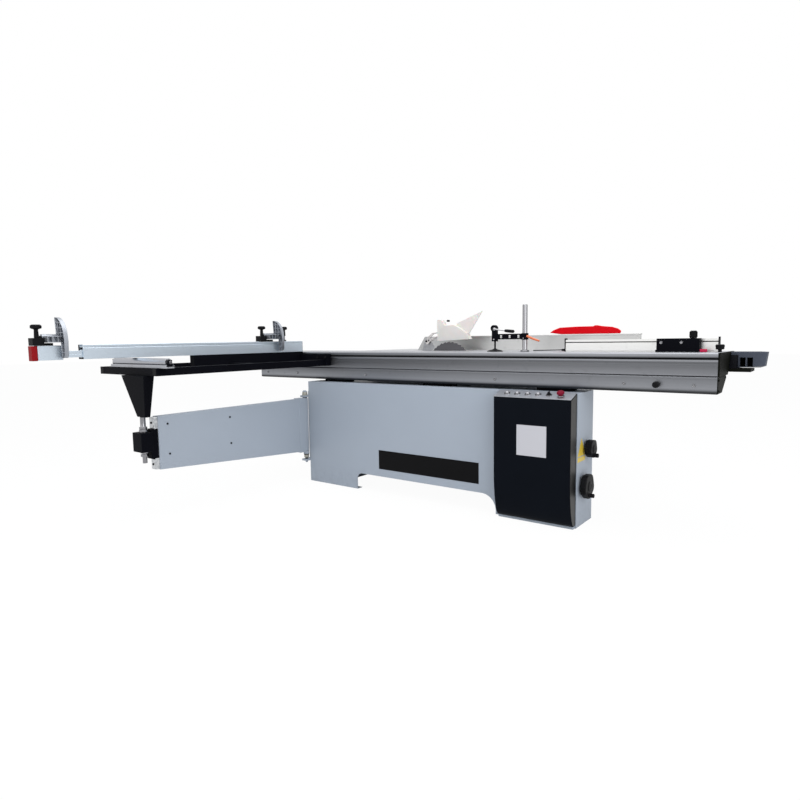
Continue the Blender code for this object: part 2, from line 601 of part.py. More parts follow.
def make_clamp():
    """Hold-down clamp: a column in the table's slot, an arm, its lever and its pad."""
    foot = [(0.0055, WORK_HEIGHT - SLOT_DEPTH + FIT), (0.0055, WORK_HEIGHT + FIT),
            (0.024, WORK_HEIGHT + FIT), (0.024, WORK_HEIGHT + 0.008),
            (CLAMP_RADIUS, WORK_HEIGHT + 0.012), (CLAMP_RADIUS, CLAMP_TOP - 0.003),
            (CLAMP_RADIUS - 0.003, CLAMP_TOP)]
    body("clamp_column", "sliding_table", (SLOT_X, CLAMP_Y, WORK_HEIGHT))
    piece(turned("Z", (SLOT_X, CLAMP_Y), foot), "clamp_column", "clamp_column", "chrome")

    head_y = CLAMP_Y + CLAMP_REACH
    low, high = WORK_HEIGHT + 0.069, WORK_HEIGHT + 0.100
    boss_z = WORK_HEIGHT + 0.128
    body("clamp_arm", "clamp_column", (SLOT_X, CLAMP_Y, low))
    arm = union(rod("Z", (SLOT_X, CLAMP_Y), 0.022, (low - 0.004, high + 0.004)),
                box((SLOT_X - 0.011, SLOT_X + 0.011), (CLAMP_Y, head_y + 0.010), (low, high)),
                box((SLOT_X - 0.013, SLOT_X + 0.013), (head_y - 0.018, head_y + 0.018),
                    (WORK_HEIGHT + 0.055, boss_z)),
                rod("X", (head_y, boss_z), 0.022, (SLOT_X - 0.013, SLOT_X + 0.013)))
    arm = cut(arm, rod("Z", (SLOT_X, CLAMP_Y), CLAMP_RADIUS + FIT, (low - 0.02, high + 0.02)),
              rod("Z", (SLOT_X, head_y), 0.005 + FIT, (WORK_HEIGHT, WORK_HEIGHT + 0.085), 12))
    piece(arm, "clamp_arm", "clamp_arm", "black_coat")

    body("clamp_lever", "clamp_arm", (SLOT_X, head_y, boss_z))
    lx = SLOT_X - 0.013 - FIT
    lever = union(rod("X", (head_y, boss_z), 0.014, (lx - 0.008, lx)),
                  box((lx - 0.007, lx - 0.001), (head_y - 0.070, head_y), (boss_z - 0.004, boss_z + 0.004)),
                  rod("Y", (lx - 0.004, boss_z), 0.008, (head_y - 0.125, head_y - 0.062), 12))
    piece(lever, "clamp_lever", "clamp_lever", "black_plastic")

    body("clamp_pad", "clamp_arm", (SLOT_X, head_y, WORK_HEIGHT))
    pad = turned("Z", (SLOT_X, head_y), [(0.044, WORK_HEIGHT + FIT), (0.046, WORK_HEIGHT + 0.003),
                                         (0.036, WORK_HEIGHT + 0.008), (0.014, WORK_HEIGHT + 0.013),
                                         (0.012, WORK_HEIGHT + 0.016), (0.005, WORK_HEIGHT + 0.017),
                                         (0.005, WORK_HEIGHT + 0.064)])
    piece(pad, "clamp_pad", "clamp_pad", "black_plastic")


def make_edge_fence():
    """Low fence on the sliding table, on a block that pivots on its clamping knob."""
    face = SLOT_X + 0.022
    base = WORK_HEIGHT + FIT
    body("edge_knob", "sliding_table", (SLOT_X, EDGE_PIVOT_Y, WORK_HEIGHT))
    body("edge_fence", "edge_knob", (SLOT_X, EDGE_PIVOT_Y, WORK_HEIGHT))
    x = (face, face + EDGE_THICK)
    slot = base + EDGE_HEIGHT - 0.016
    profile = [(x[0], base), (x[1], base), (x[1], base + EDGE_HEIGHT), (x[0], base + EDGE_HEIGHT),
               (x[0], slot + 0.005), (x[0] + 0.008, slot + 0.005), (x[0] + 0.008, slot), (x[0], slot)]
    piece(prism("Y", profile, (EDGE_INFEED, EDGE_OUTFEED)), "edge_fence", "edge_fence", "aluminium")

    bx = (SLOT_X - 0.020, face - FIT)
    block = union(box(bx, (EDGE_PIVOT_Y - 0.031, EDGE_PIVOT_Y + 0.158), (base, base + 0.064)),
                  box((bx[0] - 0.008, bx[1]), (EDGE_PIVOT_Y - 0.034, EDGE_PIVOT_Y + 0.161),
                      (base, base + 0.010)))
    block = cut(block, rod("Z", (SLOT_X, EDGE_PIVOT_Y), 0.005 + FIT,
                           (WORK_HEIGHT - 0.01, WORK_HEIGHT + 0.1), 12))
    piece(block, "edge_fence_block", "edge_fence", "black_coat")

    top = base + 0.064 + FIT
    knob = turned("Z", (SLOT_X, EDGE_PIVOT_Y), [
        (0.006, WORK_HEIGHT - SLOT_DEPTH + FIT), (0.006, WORK_HEIGHT - 0.006),
        (0.005, WORK_HEIGHT - 0.005), (0.005, top),
        (0.014, top), (0.016, top + 0.004), (0.016, top + 0.030), (0.012, top + 0.035)])
    piece(knob, "edge_fence_knob", "edge_knob", "black_plastic")


# ---- saw unit --------------------------------------------------------------------------


def arc(centre, radius, start, end, steps):
    """Points of an arc in the plane of two axes, from start to end degrees."""
    points = []
    for step in range(steps + 1):
        angle = math.radians(start + (end - start) * step / steps)
        points.append((centre[0] + radius * math.cos(angle), centre[1] + radius * math.sin(angle)))
    return points


def make_tilt_unit():
    """Trunnions under the table, and the cradle that turns on them about the blade line."""
    axis = (0, WORK_HEIGHT)
    top = WORK_HEIGHT - SAW_TABLE_PLATE - FIT
    for name, y0 in (("front", CRADLE_END_Y[0] - FIT - PLATE), ("rear", CRADLE_END_Y[1] + PLATE + FIT)):
        ring = arc(axis, 0.180, -125, -20, 12) + arc(axis, 0.120, -20, -125, 12)
        trunnion = union(prism("Y", ring, (y0, y0 + PLATE)),
                         box((0.105, 0.165), (y0, y0 + PLATE), (top - 0.060, top)))
        piece(trunnion, "trunnion_" + name, "base", "cast_iron")

    body("tilt_unit", "base", (0, 0, WORK_HEIGHT))
    bottom = ARBOR_Z - 0.463
    end_y = (CRADLE_END_Y[0], CRADLE_END_Y[1] + PLATE)
    cradle = box(GUIDE_X, end_y, (bottom, bottom + 0.035))
    for inner in POST_Y:
        outer = inner + math.copysign(0.030, inner)
        cradle = union(cradle, box(GUIDE_X, (min(inner, outer), max(inner, outer)),
                                   (bottom + 0.01, SAW_TABLE_BOTTOM - 0.012)))
    for start in CRADLE_END_Y:
        outline = [(0.020, bottom), (0.065, bottom), (0.150, WORK_HEIGHT - 0.200),
                   (0.150, WORK_HEIGHT - 0.090), (-0.010, WORK_HEIGHT - 0.110),
                   (-0.010, WORK_HEIGHT - 0.200)]
        cradle = union(cradle, prism("Y", outline, (start, start + PLATE)))
    piece(cradle, "tilt_cradle", "tilt_unit", "cast_iron")


def make_raise_unit():
    """Slide with arbor, motor, belt and riving knife."""
    body("raise_unit", "tilt_unit", (0, 0, ARBOR_Z))
    shelf_top = ARBOR_Z - MOTOR_DROP - MOTOR_RADIUS - FIT
    shelf_low = shelf_top - 0.012
    guide = (GUIDE_X[0] + 0.0005, GUIDE_X[1] - 0.010)
    inner_y = (POST_Y[0] + RUN, POST_Y[1] - RUN)
    housing = union(
        box(guide, inner_y, (shelf_low, ARBOR_Z + 0.040)),
        box((guide[0], MOTOR_X[1]), (inner_y[0] + 0.02, inner_y[1] - 0.02), (shelf_low, shelf_top)),
        rod("X", (0, ARBOR_Z), 0.036, (0.013, 0.078)),
        box((0.0163, GUIDE_X[0] - RUN), (0.040, 0.240), (ARBOR_Z - 0.075, ARBOR_Z - 0.025)),
        box((BLADE_THICK / 2 + FIT, 0.018), (0.190, 0.232), (ARBOR_Z - 0.065, ARBOR_Z - 0.030)),
        box((0.020, guide[1]), (0.030, 0.060), (ARBOR_Z - 0.075, ARBOR_Z - 0.025)),
    )
    housing = cut(housing, rod("X", (0, ARBOR_Z), SHAFT_RADIUS + FIT, (-0.01, 0.09)))
    piece(housing, "arbor_housing", "raise_unit", "cast_iron")

    motor_z = ARBOR_Z - MOTOR_DROP
    flat = motor_z - MOTOR_RADIUS
    motor = union(rod("X", (0, motor_z), MOTOR_RADIUS - 0.006, MOTOR_X, 24),
                  box((MOTOR_X[0] + 0.02, MOTOR_X[1] - 0.03), (-0.060, 0.060), (flat, motor_z - 0.03)),
                  box((MOTOR_X[0] + 0.05, MOTOR_X[0] + 0.13), (-0.040, 0.040),
                      (motor_z + 0.03, motor_z + MOTOR_RADIUS + 0.020)))
    motor = cut(motor, rod("X", (0, motor_z), 0.010 + 2 * FIT, (MOTOR_X[0] - 0.01, MOTOR_X[0] + 0.05), 12))
    piece(motor, "saw_motor", "raise_unit", "motor_paint")

    body("motor_rotor", "raise_unit", (0, 0, motor_z))
    pulley = union(rod("X", (0, motor_z), MOTOR_PULLEY, PULLEY_X, 20),
                   rod("X", (0, motor_z), 0.010, (PULLEY_X[0], MOTOR_X[0] + 0.045), 12))
    piece(pulley, "motor_pulley", "motor_rotor", "machined_steel")

    facet = math.cos(math.pi / 20)     # flats of a twenty-sided round lie this much nearer in
    upper, lower = (ARBOR_PULLEY + FIT) / facet, (MOTOR_PULLEY + FIT) / facet
    outside = (arc((0, ARBOR_Z), upper + BELT, 0, 180, 10)
               + arc((0, motor_z), lower + BELT, 180, 360, 10))
    inside = arc((0, ARBOR_Z), upper, 0, 180, 10) + arc((0, motor_z), lower, 180, 360, 10)
    belt = cut(prism("X", outside, (PULLEY_X[0] + 0.003, PULLEY_X[1] - 0.003)),
               prism("X", inside, (PULLEY_X[0] - 0.01, PULLEY_X[1] + 0.01)))
    piece(belt, "drive_belt", "raise_unit", "belt_rubber")

    knife = arc((0, ARBOR_Z), BLADE_RADIUS + 0.006, -18, 52, 10)
    knife += [(0.150, WORK_HEIGHT + 0.072), (0.185, WORK_HEIGHT + 0.078), (0.245, WORK_HEIGHT - 0.080),
              (0.238, ARBOR_Z - 0.070)]
    half = KNIFE_THICK / 2
    piece(prism("X", knife, (-half, half)), "riving_knife", "raise_unit", "machined_steel")


def make_arbor():
    body("arbor", "raise_unit", (0, 0, ARBOR_Z))
    shaft = turned("X", (0, ARBOR_Z), [
        (0.010, -0.026), (0.010, BLADE_THICK / 2), (FLANGE_RADIUS, BLADE_THICK / 2 + FIT),
        (FLANGE_RADIUS, 0.010), (SHAFT_RADIUS, 0.012), (SHAFT_RADIUS, PULLEY_X[0]),
        (ARBOR_PULLEY, PULLEY_X[0]), (ARBOR_PULLEY, PULLEY_X[1])])
    piece(shaft, "saw_arbor", "arbor", "machined_steel")

    teeth = 36
    outline = []
    for tooth in range(teeth):
        for share, radius in ((0.0, BLADE_RADIUS), (0.12, BLADE_RADIUS - 0.007),
                              (0.60, BLADE_RADIUS - 0.004)):
            angle = 2 * math.pi * (tooth + share) / teeth
            outline.append((radius * math.cos(angle), ARBOR_Z + radius * math.sin(angle)))
    half = BLADE_THICK / 2
    blade = cut(prism("X", outline, (-half, half)),
                rod("X", (0, ARBOR_Z), 0.010 + FIT, (-0.01, 0.01)))
    piece(blade, "saw_blade", "arbor", "saw_steel")


def make_guard():
    """Hood over the blade with its upright fin, on links from the riving knife."""
    py, pz = GUARD_PIVOT[0], WORK_HEIGHT + GUARD_PIVOT[1]
    body("blade_guard", "raise_unit", (0, py, pz))
    outline = [(0.083, 0.062), (0.083, 0.199), (0.048, 0.198), (0.024, 0.160), (-0.035, 0.164),
               (-0.080, 0.147), (-0.139, 0.111), (-0.160, 0.073)]
    hood = prism("X", [(y, WORK_HEIGHT + z) for y, z in outline], (-GUARD_HALF, GUARD_HALF))
    inside = [(0.100, 0.050), (0.100, 0.150), (0.024, 0.156), (-0.034, 0.160), (-0.078, 0.143),
              (-0.136, 0.108), (-0.158, 0.050)]
    wall = GUARD_HALF - GUARD_SHEET
    hood = cut(hood, prism("X", [(y, WORK_HEIGHT + z) for y, z in inside], (-wall, wall)))
    fin = [(-0.050, 0.156), (-0.055, 0.172), (-0.243, 0.245), (-0.150, 0.108), (-0.130, 0.112)]
    hood = union(hood, prism("X", [(y, WORK_HEIGHT + z) for y, z in fin], (-0.003, 0.003)))
    piece(hood, "guard_hood", "blade_guard", "guard_plastic")

    half = KNIFE_THICK / 2 + FIT
    link_outline = [(py + 0.014, pz - 0.010), (py + 0.010, pz + 0.014), (0.070, pz + 0.068),
                    (0.040, pz + 0.068), (0.046, pz + 0.048), (py - 0.012, pz - 0.012)]
    links = union(prism("X", link_outline, (-wall + FIT, -half)),
                  prism("X", link_outline, (half, wall - FIT)),
                  rod("X", (0.058, pz + 0.058), 0.006, (-wall + 0.002, wall - 0.002), 12))
    piece(links, "guard_links", "blade_guard", "guard_plastic")


def make_scoring_unit():
    z = WORK_HEIGHT - SCORING_SUNK - SCORING_RADIUS
    body("scoring_unit", "tilt_unit", (0, SCORING_Y, z))
    motor = union(rod("X", (SCORING_Y, z), 0.030, (0.030, 0.120)),
                  box((0.034, 0.064), (CRADLE_END_Y[0] + PLATE + FIT, SCORING_Y),
                      (z - 0.058, z - 0.010)))
    motor = cut(motor, rod("X", (SCORING_Y, z), 0.006 + FIT, (0.02, 0.06), 12))
    piece(motor, "scoring_motor", "scoring_unit", "motor_paint")
    body("scoring_spindle", "scoring_unit", (0, SCORING_Y, z))
    outline = []
    teeth = 20
    for tooth in range(teeth):
        for share, radius in ((0.0, SCORING_RADIUS), (0.2, SCORING_RADIUS - 0.005)):
            angle = 2 * math.pi * (tooth + share) / teeth
            outline.append((SCORING_Y + radius * math.cos(angle), z + radius * math.sin(angle)))
    blade = union(prism("X", outline, (-0.0015, 0.0015)),
                  rod("X", (SCORING_Y, z), 0.022, (-0.009, 0.005)),
                  rod("X", (SCORING_Y, z), 0.006, (0, 0.055), 12))
    piece(blade, "scoring_blade", "scoring_spindle", "saw_steel")


# ---- outrigger, swing arm, crosscut fence ----------------------------------------------
def make_swing_arm():
    """Telescoping arm on the cabinet's outfeed end that carries the outrigger's post."""
    half = ARM_THICK / 2
    pin_z = (0.140, 0.615)
    cheek = 0.012
    bracket_y = FRONT_BOX_OUTFEED + FIT
    bracket = box((CABINET_X + 0.004, CABINET_X + 0.060), (bracket_y, bracket_y + 0.008),
                  (pin_z[0], pin_z[1]))
    for low in (pin_z[0], ARM_TOP + 0.008):
        bracket = union(bracket, box((ARM_X - 0.022, CABINET_X + 0.040), (bracket_y, ARM_Y + 0.022),
                                     (low, low + cheek)))
    pin = turned("Z", (ARM_X, ARM_Y), [
        (0.008, pin_z[0] - 0.012), (0.008, ARM_TOP + 0.008 + cheek + FIT),
        (0.015, ARM_TOP + 0.008 + cheek + FIT), (0.015, ARM_TOP + 0.048), (0.008, ARM_TOP + 0.053)])
    piece(union(bracket, pin), "arm_bracket", "base", "powder_coat")

    body("swing_arm", "base", (ARM_X, ARM_Y, ARM_TOP))
    root = ARM_X - 0.050
    outline = [(ARM_END_X, ARM_END_BOTTOM), (root, ARM_ROOT_BOTTOM), (root, ARM_TOP), (ARM_END_X, ARM_TOP)]
    y = (ARM_Y - half, ARM_Y + half)
    arm = prism("Y", outline, y)
    hollow = [(ARM_END_X - 0.02, ARM_END_BOTTOM + ARM_WALL), (root - 0.02, ARM_END_BOTTOM + ARM_WALL),
              (root - 0.02, ARM_TOP - ARM_WALL), (ARM_END_X - 0.02, ARM_TOP - ARM_WALL)]
    arm = cut(arm, prism("Y", hollow, (y[0] + ARM_WALL, y[1] - ARM_WALL)))
    barrel_z = (ARM_ROOT_BOTTOM, ARM_TOP)
    arm = union(arm, rod("Z", (ARM_X, ARM_Y), 0.020, barrel_z),
                box((root - 0.002, ARM_X), (ARM_Y - 0.012, ARM_Y + 0.012), barrel_z),
                box((ARM_X - 0.077, ARM_X - 0.020), (y[0] - 0.002, y[1] + 0.002),
                    (ARM_ROOT_BOTTOM - 0.004, ARM_TOP + 0.004)))
    arm = cut(arm, rod("Z", (ARM_X, ARM_Y), 0.008 + FIT, (0, 1), 12))
    piece(arm, "swing_arm", "swing_arm", "powder_coat")

    body("arm_extension", "swing_arm", (POST_X, ARM_Y, ARM_END_BOTTOM))
    gap = ARM_WALL + FIT
    tube_x = (ARM_END_X - 0.022, ARM_X - 0.245)
    tube_y = (y[0] + gap, y[1] - gap)
    tube_z = (ARM_END_BOTTOM + gap, ARM_TOP - gap)
    tube = cut(box(tube_x, tube_y, tube_z),
               box((tube_x[0] - 0.01, tube_x[1] + 0.01), (tube_y[0] + 0.004, tube_y[1] - 0.004),
                   (tube_z[0] + 0.004, tube_z[1] - 0.004)))
    head_z = (0.389, 0.491)
    head = union(tube,
                 box((POST_X - 0.038, ARM_END_X - 0.042), (ARM_Y - 0.043, ARM_Y + 0.043), head_z),
                 box((ARM_END_X - 0.043, tube_x[0] + 0.060), (tube_y[0] + 0.002, tube_y[1] - 0.002),
                     (0.345, 0.504)))
    head = cut(head, rod("Z", (POST_X, ARM_Y), 0.014 + FIT, (0.3, 0.6)))
    piece(head, "arm_inner_tube", "arm_extension", "machined_steel")
    shaft = turned("Z", (POST_X, ARM_Y), [
        (0.012, 0.326), (0.012, 0.380), (0.021, 0.380), (0.021, head_z[0] - FIT),
        (0.014, head_z[0] - FIT), (0.014, head_z[1] + FIT), (0.022, head_z[1] + FIT),
        (0.022, head_z[1] + 0.014), (0.014, head_z[1] + 0.016), (0.014, POST_BOTTOM - 2 * RUN)])
    piece(shaft, "arm_shaft", "arm_extension", "chrome")


def make_outrigger():
    """Crosscut frame that rides on the sliding table's side, with its roller and post."""
    x_in = TABLE_OUTER - FIT
    x_out = FRAME_OUT
    y = (FRAME_INFEED, FRAME_OUTFEED)
    z = (FRAME_BOTTOM, FRAME_TOP)
    frame = union(
        box((x_in - FRAME_TUBE, x_in), (y[0] - 0.020, y[1]), (FRAME_BOTTOM, WORK_HEIGHT - 0.012)),
        box((x_out, x_in), (y[0], y[0] + FRAME_TUBE), z),
        box((x_out, x_in), (y[1] - FRAME_TUBE, y[1]), z),
        box((x_out, x_out + FRAME_TUBE), y, z),
        box((-1.020, -0.980), y, z),
        box((-1.260, x_in - 0.01), (CROSS_Y - 0.020, CROSS_Y + 0.020),
            (FRAME_BOTTOM + 0.004, CROSS_BOTTOM - FIT)),
    )
    roller_x = x_out + 0.035
    roller_z = WORK_HEIGHT - ROLLER_RADIUS
    roller_y = (0.645, 1.160)
    frame = union(frame, box((roller_x - 0.022, roller_x + 0.022), (roller_y[0] - 0.012, roller_y[1] + 0.012),
                             (FRAME_TOP - 0.003, FRAME_TOP + 0.006)))
    for end in (roller_y[0] - 0.012, roller_y[1] + 0.006):
        frame = union(frame, box((roller_x - 0.012, roller_x + 0.012), (end, end + 0.006),
                                 (FRAME_TOP, roller_z + 0.012)))
    frame = cut(frame, rod("Y", (roller_x, roller_z), 0.005 + FIT,
                           (roller_y[0] - 0.05, roller_y[1] + 0.05), 12))
    piece(frame, "outrigger_frame", "sliding_table", "black_coat")

    body("outrigger_roller", "sliding_table", (roller_x, roller_y[0], roller_z))
    roller = turned("Y", (roller_x, roller_z), [
        (0.005, roller_y[0] - 0.012), (0.005, roller_y[0] + 0.002), (ROLLER_RADIUS, roller_y[0] + 0.002),
        (ROLLER_RADIUS, roller_y[1] - 0.002), (0.005, roller_y[1] - 0.002), (0.005, roller_y[1] + 0.012)])
    piece(roller, "outrigger_roller", "outrigger_roller", "aluminium")

    top, low = FRAME_BOTTOM - FIT, POST_BOTTOM
    bm = bmesh.new()
    rings = [[(POST_X - 0.030, 0.790), (POST_X + 0.030, 0.790), (POST_X + 0.030, 1.012), (POST_X - 0.030, 1.012)],
             [(POST_X - 0.015, 0.822), (POST_X + 0.015, 0.822), (POST_X + 0.015, 0.902), (POST_X - 0.015, 0.902)]]
    loops = [[bm.verts.new((px, py, pz)) for px, py in ring] for ring, pz in zip(rings, (top, low))]
    for i in range(4):
        bm.faces.new((loops[0][i], loops[0][i - 1], loops[1][i - 1], loops[1][i]))
    for loop in loops:
        bm.faces.new(loop)
    piece(link("post", bm), "outrigger_post", "sliding_table", "black_coat")


def flip_stop(prefix, parent, face_x, seat, reach, slides):
    """A stop that hangs in front of the fence: block, tee knob, and a ribbed arm that flips up."""
    y = (CROSS_Y - 0.024, CROSS_Y + 0.024)
    carrier = parent
    if slides:
        carrier = prefix + "_block"
        body(carrier, parent, (face_x - reach, CROSS_Y, seat))
    hinge = (CROSS_Y + 0.010, seat + 0.040)
    bx = (face_x - reach - 0.025, face_x - reach + 0.025)
    block = union(box(bx, y, (seat + FIT, seat + 0.036)),
                  box((bx[1] - 0.002, face_x - 0.042), (CROSS_Y - 0.002, y[1]),
                      (seat + FIT, seat + 0.012)),
                  rod("X", hinge, 0.006, (bx[1] - 0.008, face_x - 0.012), 12))
    block = cut(block, rod("Z", (face_x - reach, CROSS_Y - 0.006), 0.005 + FIT, (seat - 0.02, seat + 0.06), 12))
    piece(block, prefix + "_block", carrier, "black_plastic")

    body(prefix + "_knob", carrier, (face_x - reach, CROSS_Y - 0.006, seat))
    knob = turned("Z", (face_x - reach, CROSS_Y - 0.006), [
        (0.005, seat + FIT), (0.005, seat + 0.036 + FIT), (0.011, seat + 0.036 + FIT),
        (0.009, seat + 0.075), (0.024, seat + 0.081), (0.024, seat + 0.093), (0.018, seat + 0.098)])
    piece(knob, prefix + "_knob", prefix + "_knob", "black_plastic")

    body(prefix + "_arm", carrier, (face_x, *hinge))
    hub_x = (bx[1] + FIT, face_x)
    hub = union(rod("X", hinge, 0.014, hub_x),
                box((hub_x[0] + 0.004, face_x - 0.002), (CROSS_Y - 0.048, CROSS_Y + 0.006),
                    (seat + 0.028, seat + 0.044)))
    front = CROSS_Y - 0.066
    plate = [(front + 0.014, seat - STOP_DROP), (front + 0.004, seat - STOP_DROP + 0.014), (front, seat + 0.020),
             (front + 0.004, seat + 0.085), (front + 0.016, seat + 0.114), (front + 0.034, seat + 0.132),
             (front + 0.056, seat + 0.134), (front + 0.060, seat + 0.080), (front + 0.082, seat + 0.052),
             (front + 0.082, seat + 0.030), (front + 0.036, seat + 0.016), (front + 0.030, seat - STOP_DROP)]
    arm = union(hub, prism("X", plate, (face_x - 0.036, face_x)))
    arm = cut(arm, rod("X", hinge, 0.006 + FIT, (face_x - 0.2, face_x - 0.012 + FIT), 12))
    piece(arm, prefix + "_arm", prefix + "_arm", "pale_aluminium")


def make_crosscut_fence():
    body("crosscut_fence", "sliding_table", (-CROSS_PIVOT_IN, CROSS_Y, CROSS_BOTTOM))
    y = (CROSS_Y - CROSS_THICK / 2, CROSS_Y + CROSS_THICK / 2)
    profile = [(y[0], CROSS_BOTTOM), (y[1], CROSS_BOTTOM), (y[1], CROSS_TOP),
               (CROSS_Y + 0.004, CROSS_TOP), (CROSS_Y + 0.004, CROSS_TOP - 0.010),
               (CROSS_Y - 0.010, CROSS_TOP - 0.010), (CROSS_Y - 0.010, CROSS_TOP), (y[0], CROSS_TOP)]
    x = (-CROSS_OUT, -CROSS_IN)
    bar_y = (CROSS_Y - 0.015, CROSS_Y + 0.015)
    bar_z = (CROSS_BOTTOM + 0.010, CROSS_BOTTOM + 0.042)
    chamber = box((x[0] - 0.01, x[1] + 0.01), (bar_y[0] - FIT, bar_y[1] + FIT), (bar_z[0] - FIT, bar_z[1] + FIT))
    piece(cut(prism("X", profile, x), chamber), "crosscut_fence", "crosscut_fence", "pale_aluminium")

    body("fence_extension", "crosscut_fence", (x[0], CROSS_Y, CROSS_BOTTOM))
    carriage_x = (x[0] - 0.215, x[0] - 0.093)
    carriage_y = (CROSS_Y - 0.0185, CROSS_Y + 0.0185)
    carriage_z = (CROSS_BOTTOM, CROSS_TOP - 0.003)
    extension = union(box((carriage_x[1] - 0.01, x[0] + 0.720), bar_y, bar_z),
                      box(carriage_x, carriage_y, carriage_z),
                      box((carriage_x[0] - 0.015, carriage_x[0] + 0.010),
                          (carriage_y[0] - 0.0015, carriage_y[1] + 0.0015),
                          (carriage_z[0] - 0.002, carriage_z[1] - 0.001)))
    piece(extension, "fence_extension", "fence_extension", "pale_aluminium")

    flip_stop("outer_stop", "fence_extension", carriage_x[1] + 0.008, carriage_z[1], 0.115, False)
    flip_stop("inner_stop", "crosscut_fence", -0.610, CROSS_TOP, 0.138, True)


def settle():
    """Moves the saw so that the origin is the bottom centre of its box."""
    bpy.context.view_layer.update()
    corners = [obj.matrix_world @ Vector(corner) for obj in bpy.context.scene.objects
               if obj.type == "MESH" for corner in obj.bound_box]
    low = Vector(min(c[i] for c in corners) for i in range(3))
    high = Vector(max(c[i] for c in corners) for i in range(3))
    shift = Vector((-(low.x + high.x) / 2, -(low.y + high.y) / 2, -low.z))
    BODIES["base"][0].location += shift
    print("saw box", [round(v, 5) for v in (*low, *high)], "shift", [round(v, 6) for v in shift])


def main():
    for obj in list(bpy.data.objects):
        bpy.data.objects.remove(obj)
    body("base", None, (0, 0, 0))
    make_cabinet()
    make_handwheels()
    make_control_box()
    make_tables()
    make_rip_fence()
    make_beam()
    body("sliding_table", "base", (TRACK_X, TABLE_CENTRE_Y, BEAM_TOP))
    make_sliding_table()
    make_clamp()
    make_edge_fence()
    make_tilt_unit()
    make_raise_unit()
    make_arbor()
    make_guard()
    make_scoring_unit()
    make_swing_arm()
    make_outrigger()
    make_crosscut_fence()
    settle()


main()
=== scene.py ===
"""The looks of the panel saw: finishes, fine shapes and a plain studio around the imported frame."""
import json
import math

import bmesh
import bpy
from mathutils import Matrix, Vector


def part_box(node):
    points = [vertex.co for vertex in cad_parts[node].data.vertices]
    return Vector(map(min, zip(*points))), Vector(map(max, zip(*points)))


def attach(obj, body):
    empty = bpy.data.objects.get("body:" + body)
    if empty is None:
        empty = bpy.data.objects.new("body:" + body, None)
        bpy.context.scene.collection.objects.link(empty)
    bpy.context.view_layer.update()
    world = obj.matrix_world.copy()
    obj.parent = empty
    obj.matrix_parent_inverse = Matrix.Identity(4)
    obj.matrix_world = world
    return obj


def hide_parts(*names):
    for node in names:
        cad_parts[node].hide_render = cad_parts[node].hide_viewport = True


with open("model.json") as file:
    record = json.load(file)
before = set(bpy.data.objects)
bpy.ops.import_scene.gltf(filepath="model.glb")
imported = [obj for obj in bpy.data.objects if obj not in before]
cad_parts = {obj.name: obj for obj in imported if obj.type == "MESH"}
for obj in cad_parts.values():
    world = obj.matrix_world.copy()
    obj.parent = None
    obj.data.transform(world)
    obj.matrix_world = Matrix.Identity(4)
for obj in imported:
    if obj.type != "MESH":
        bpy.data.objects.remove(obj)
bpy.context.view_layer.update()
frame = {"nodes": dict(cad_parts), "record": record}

BLADE_LOW, BLADE_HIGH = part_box("saw_blade")
# every place below is measured from the blade's centre, on the floor
SAW = Vector(((BLADE_LOW.x + BLADE_HIGH.x) / 2, (BLADE_LOW.y + BLADE_HIGH.y) / 2, 0))
BODY_OF = {node: body for body, nodes in frame["record"]["behaviour"]["bodies"].items()
           for node in nodes}

# ---- sizes of the saw, in metres -------------------------------------------------------
TABLE_TOP = 0.880
TABLE_OUT, TABLE_IN = -0.395, -0.012
TABLE_LOW = 0.775
SIDE_SLOT_LOW, SIDE_SLOT_TOP = 0.850, 0.858
TABLE_ENDS = (-1.620, 1.380)
PLATE_ENDS = (TABLE_ENDS[0] - 0.004, TABLE_ENDS[1] + 0.004)
SLOT_X = -0.230
BEAM_TOP, BEAM_LOW, BEAM_IN = 0.7745, 0.698, -0.195
COVER_X, CABINET_X = -0.522, -0.442
COVER_INFEED, COVER_TOP = -1.015, 0.655
PANEL_DEPTH = 0.080
PANEL_RISE = math.atan2(0.0277, PANEL_DEPTH)
BUTTON_ROW = 0.040
BUTTON_Y = {"start_button": -0.659, "stop_button": -0.716,
            "scoring_start_button": -0.774, "scoring_stop_button": -0.831}
SELECTOR_Y, EMERGENCY_Y = -0.888, -0.950
CABINET_INFEED, CABINET_FAR = -1.020, 0.420
BLADE_Z = 0.763
SCORER_Y, SCORER_Z = -0.262, 0.815
ARM_Y, ARM_END_X, ARM_HALF = 0.874, -1.555, 0.025
ARM_LOW, ARM_TOP = 0.281, 0.568
HINGE_X = -0.455
POST_X = -1.625
CROSS_Y, CROSS_LOW, CROSS_TOP = 0.952, 0.883, 0.955
CROSS_ENDS = (-1.880, -0.410)


# ---- finishes --------------------------------------------------------------------------
class Wire:
    """A value in a finish, which adds, subtracts and multiplies like a number."""

    def __init__(self, finish, socket):
        self.finish = finish
        self.socket = socket

    def work(self, operation, other):
        return self.finish.node("ShaderNodeMath", {"operation": operation}, {0: self, 1: other})

    def __add__(self, other):
        return self.work("ADD", other)

    def __sub__(self, other):
        return self.work("SUBTRACT", other)

    def __mul__(self, other):
        return self.work("MULTIPLY", other)


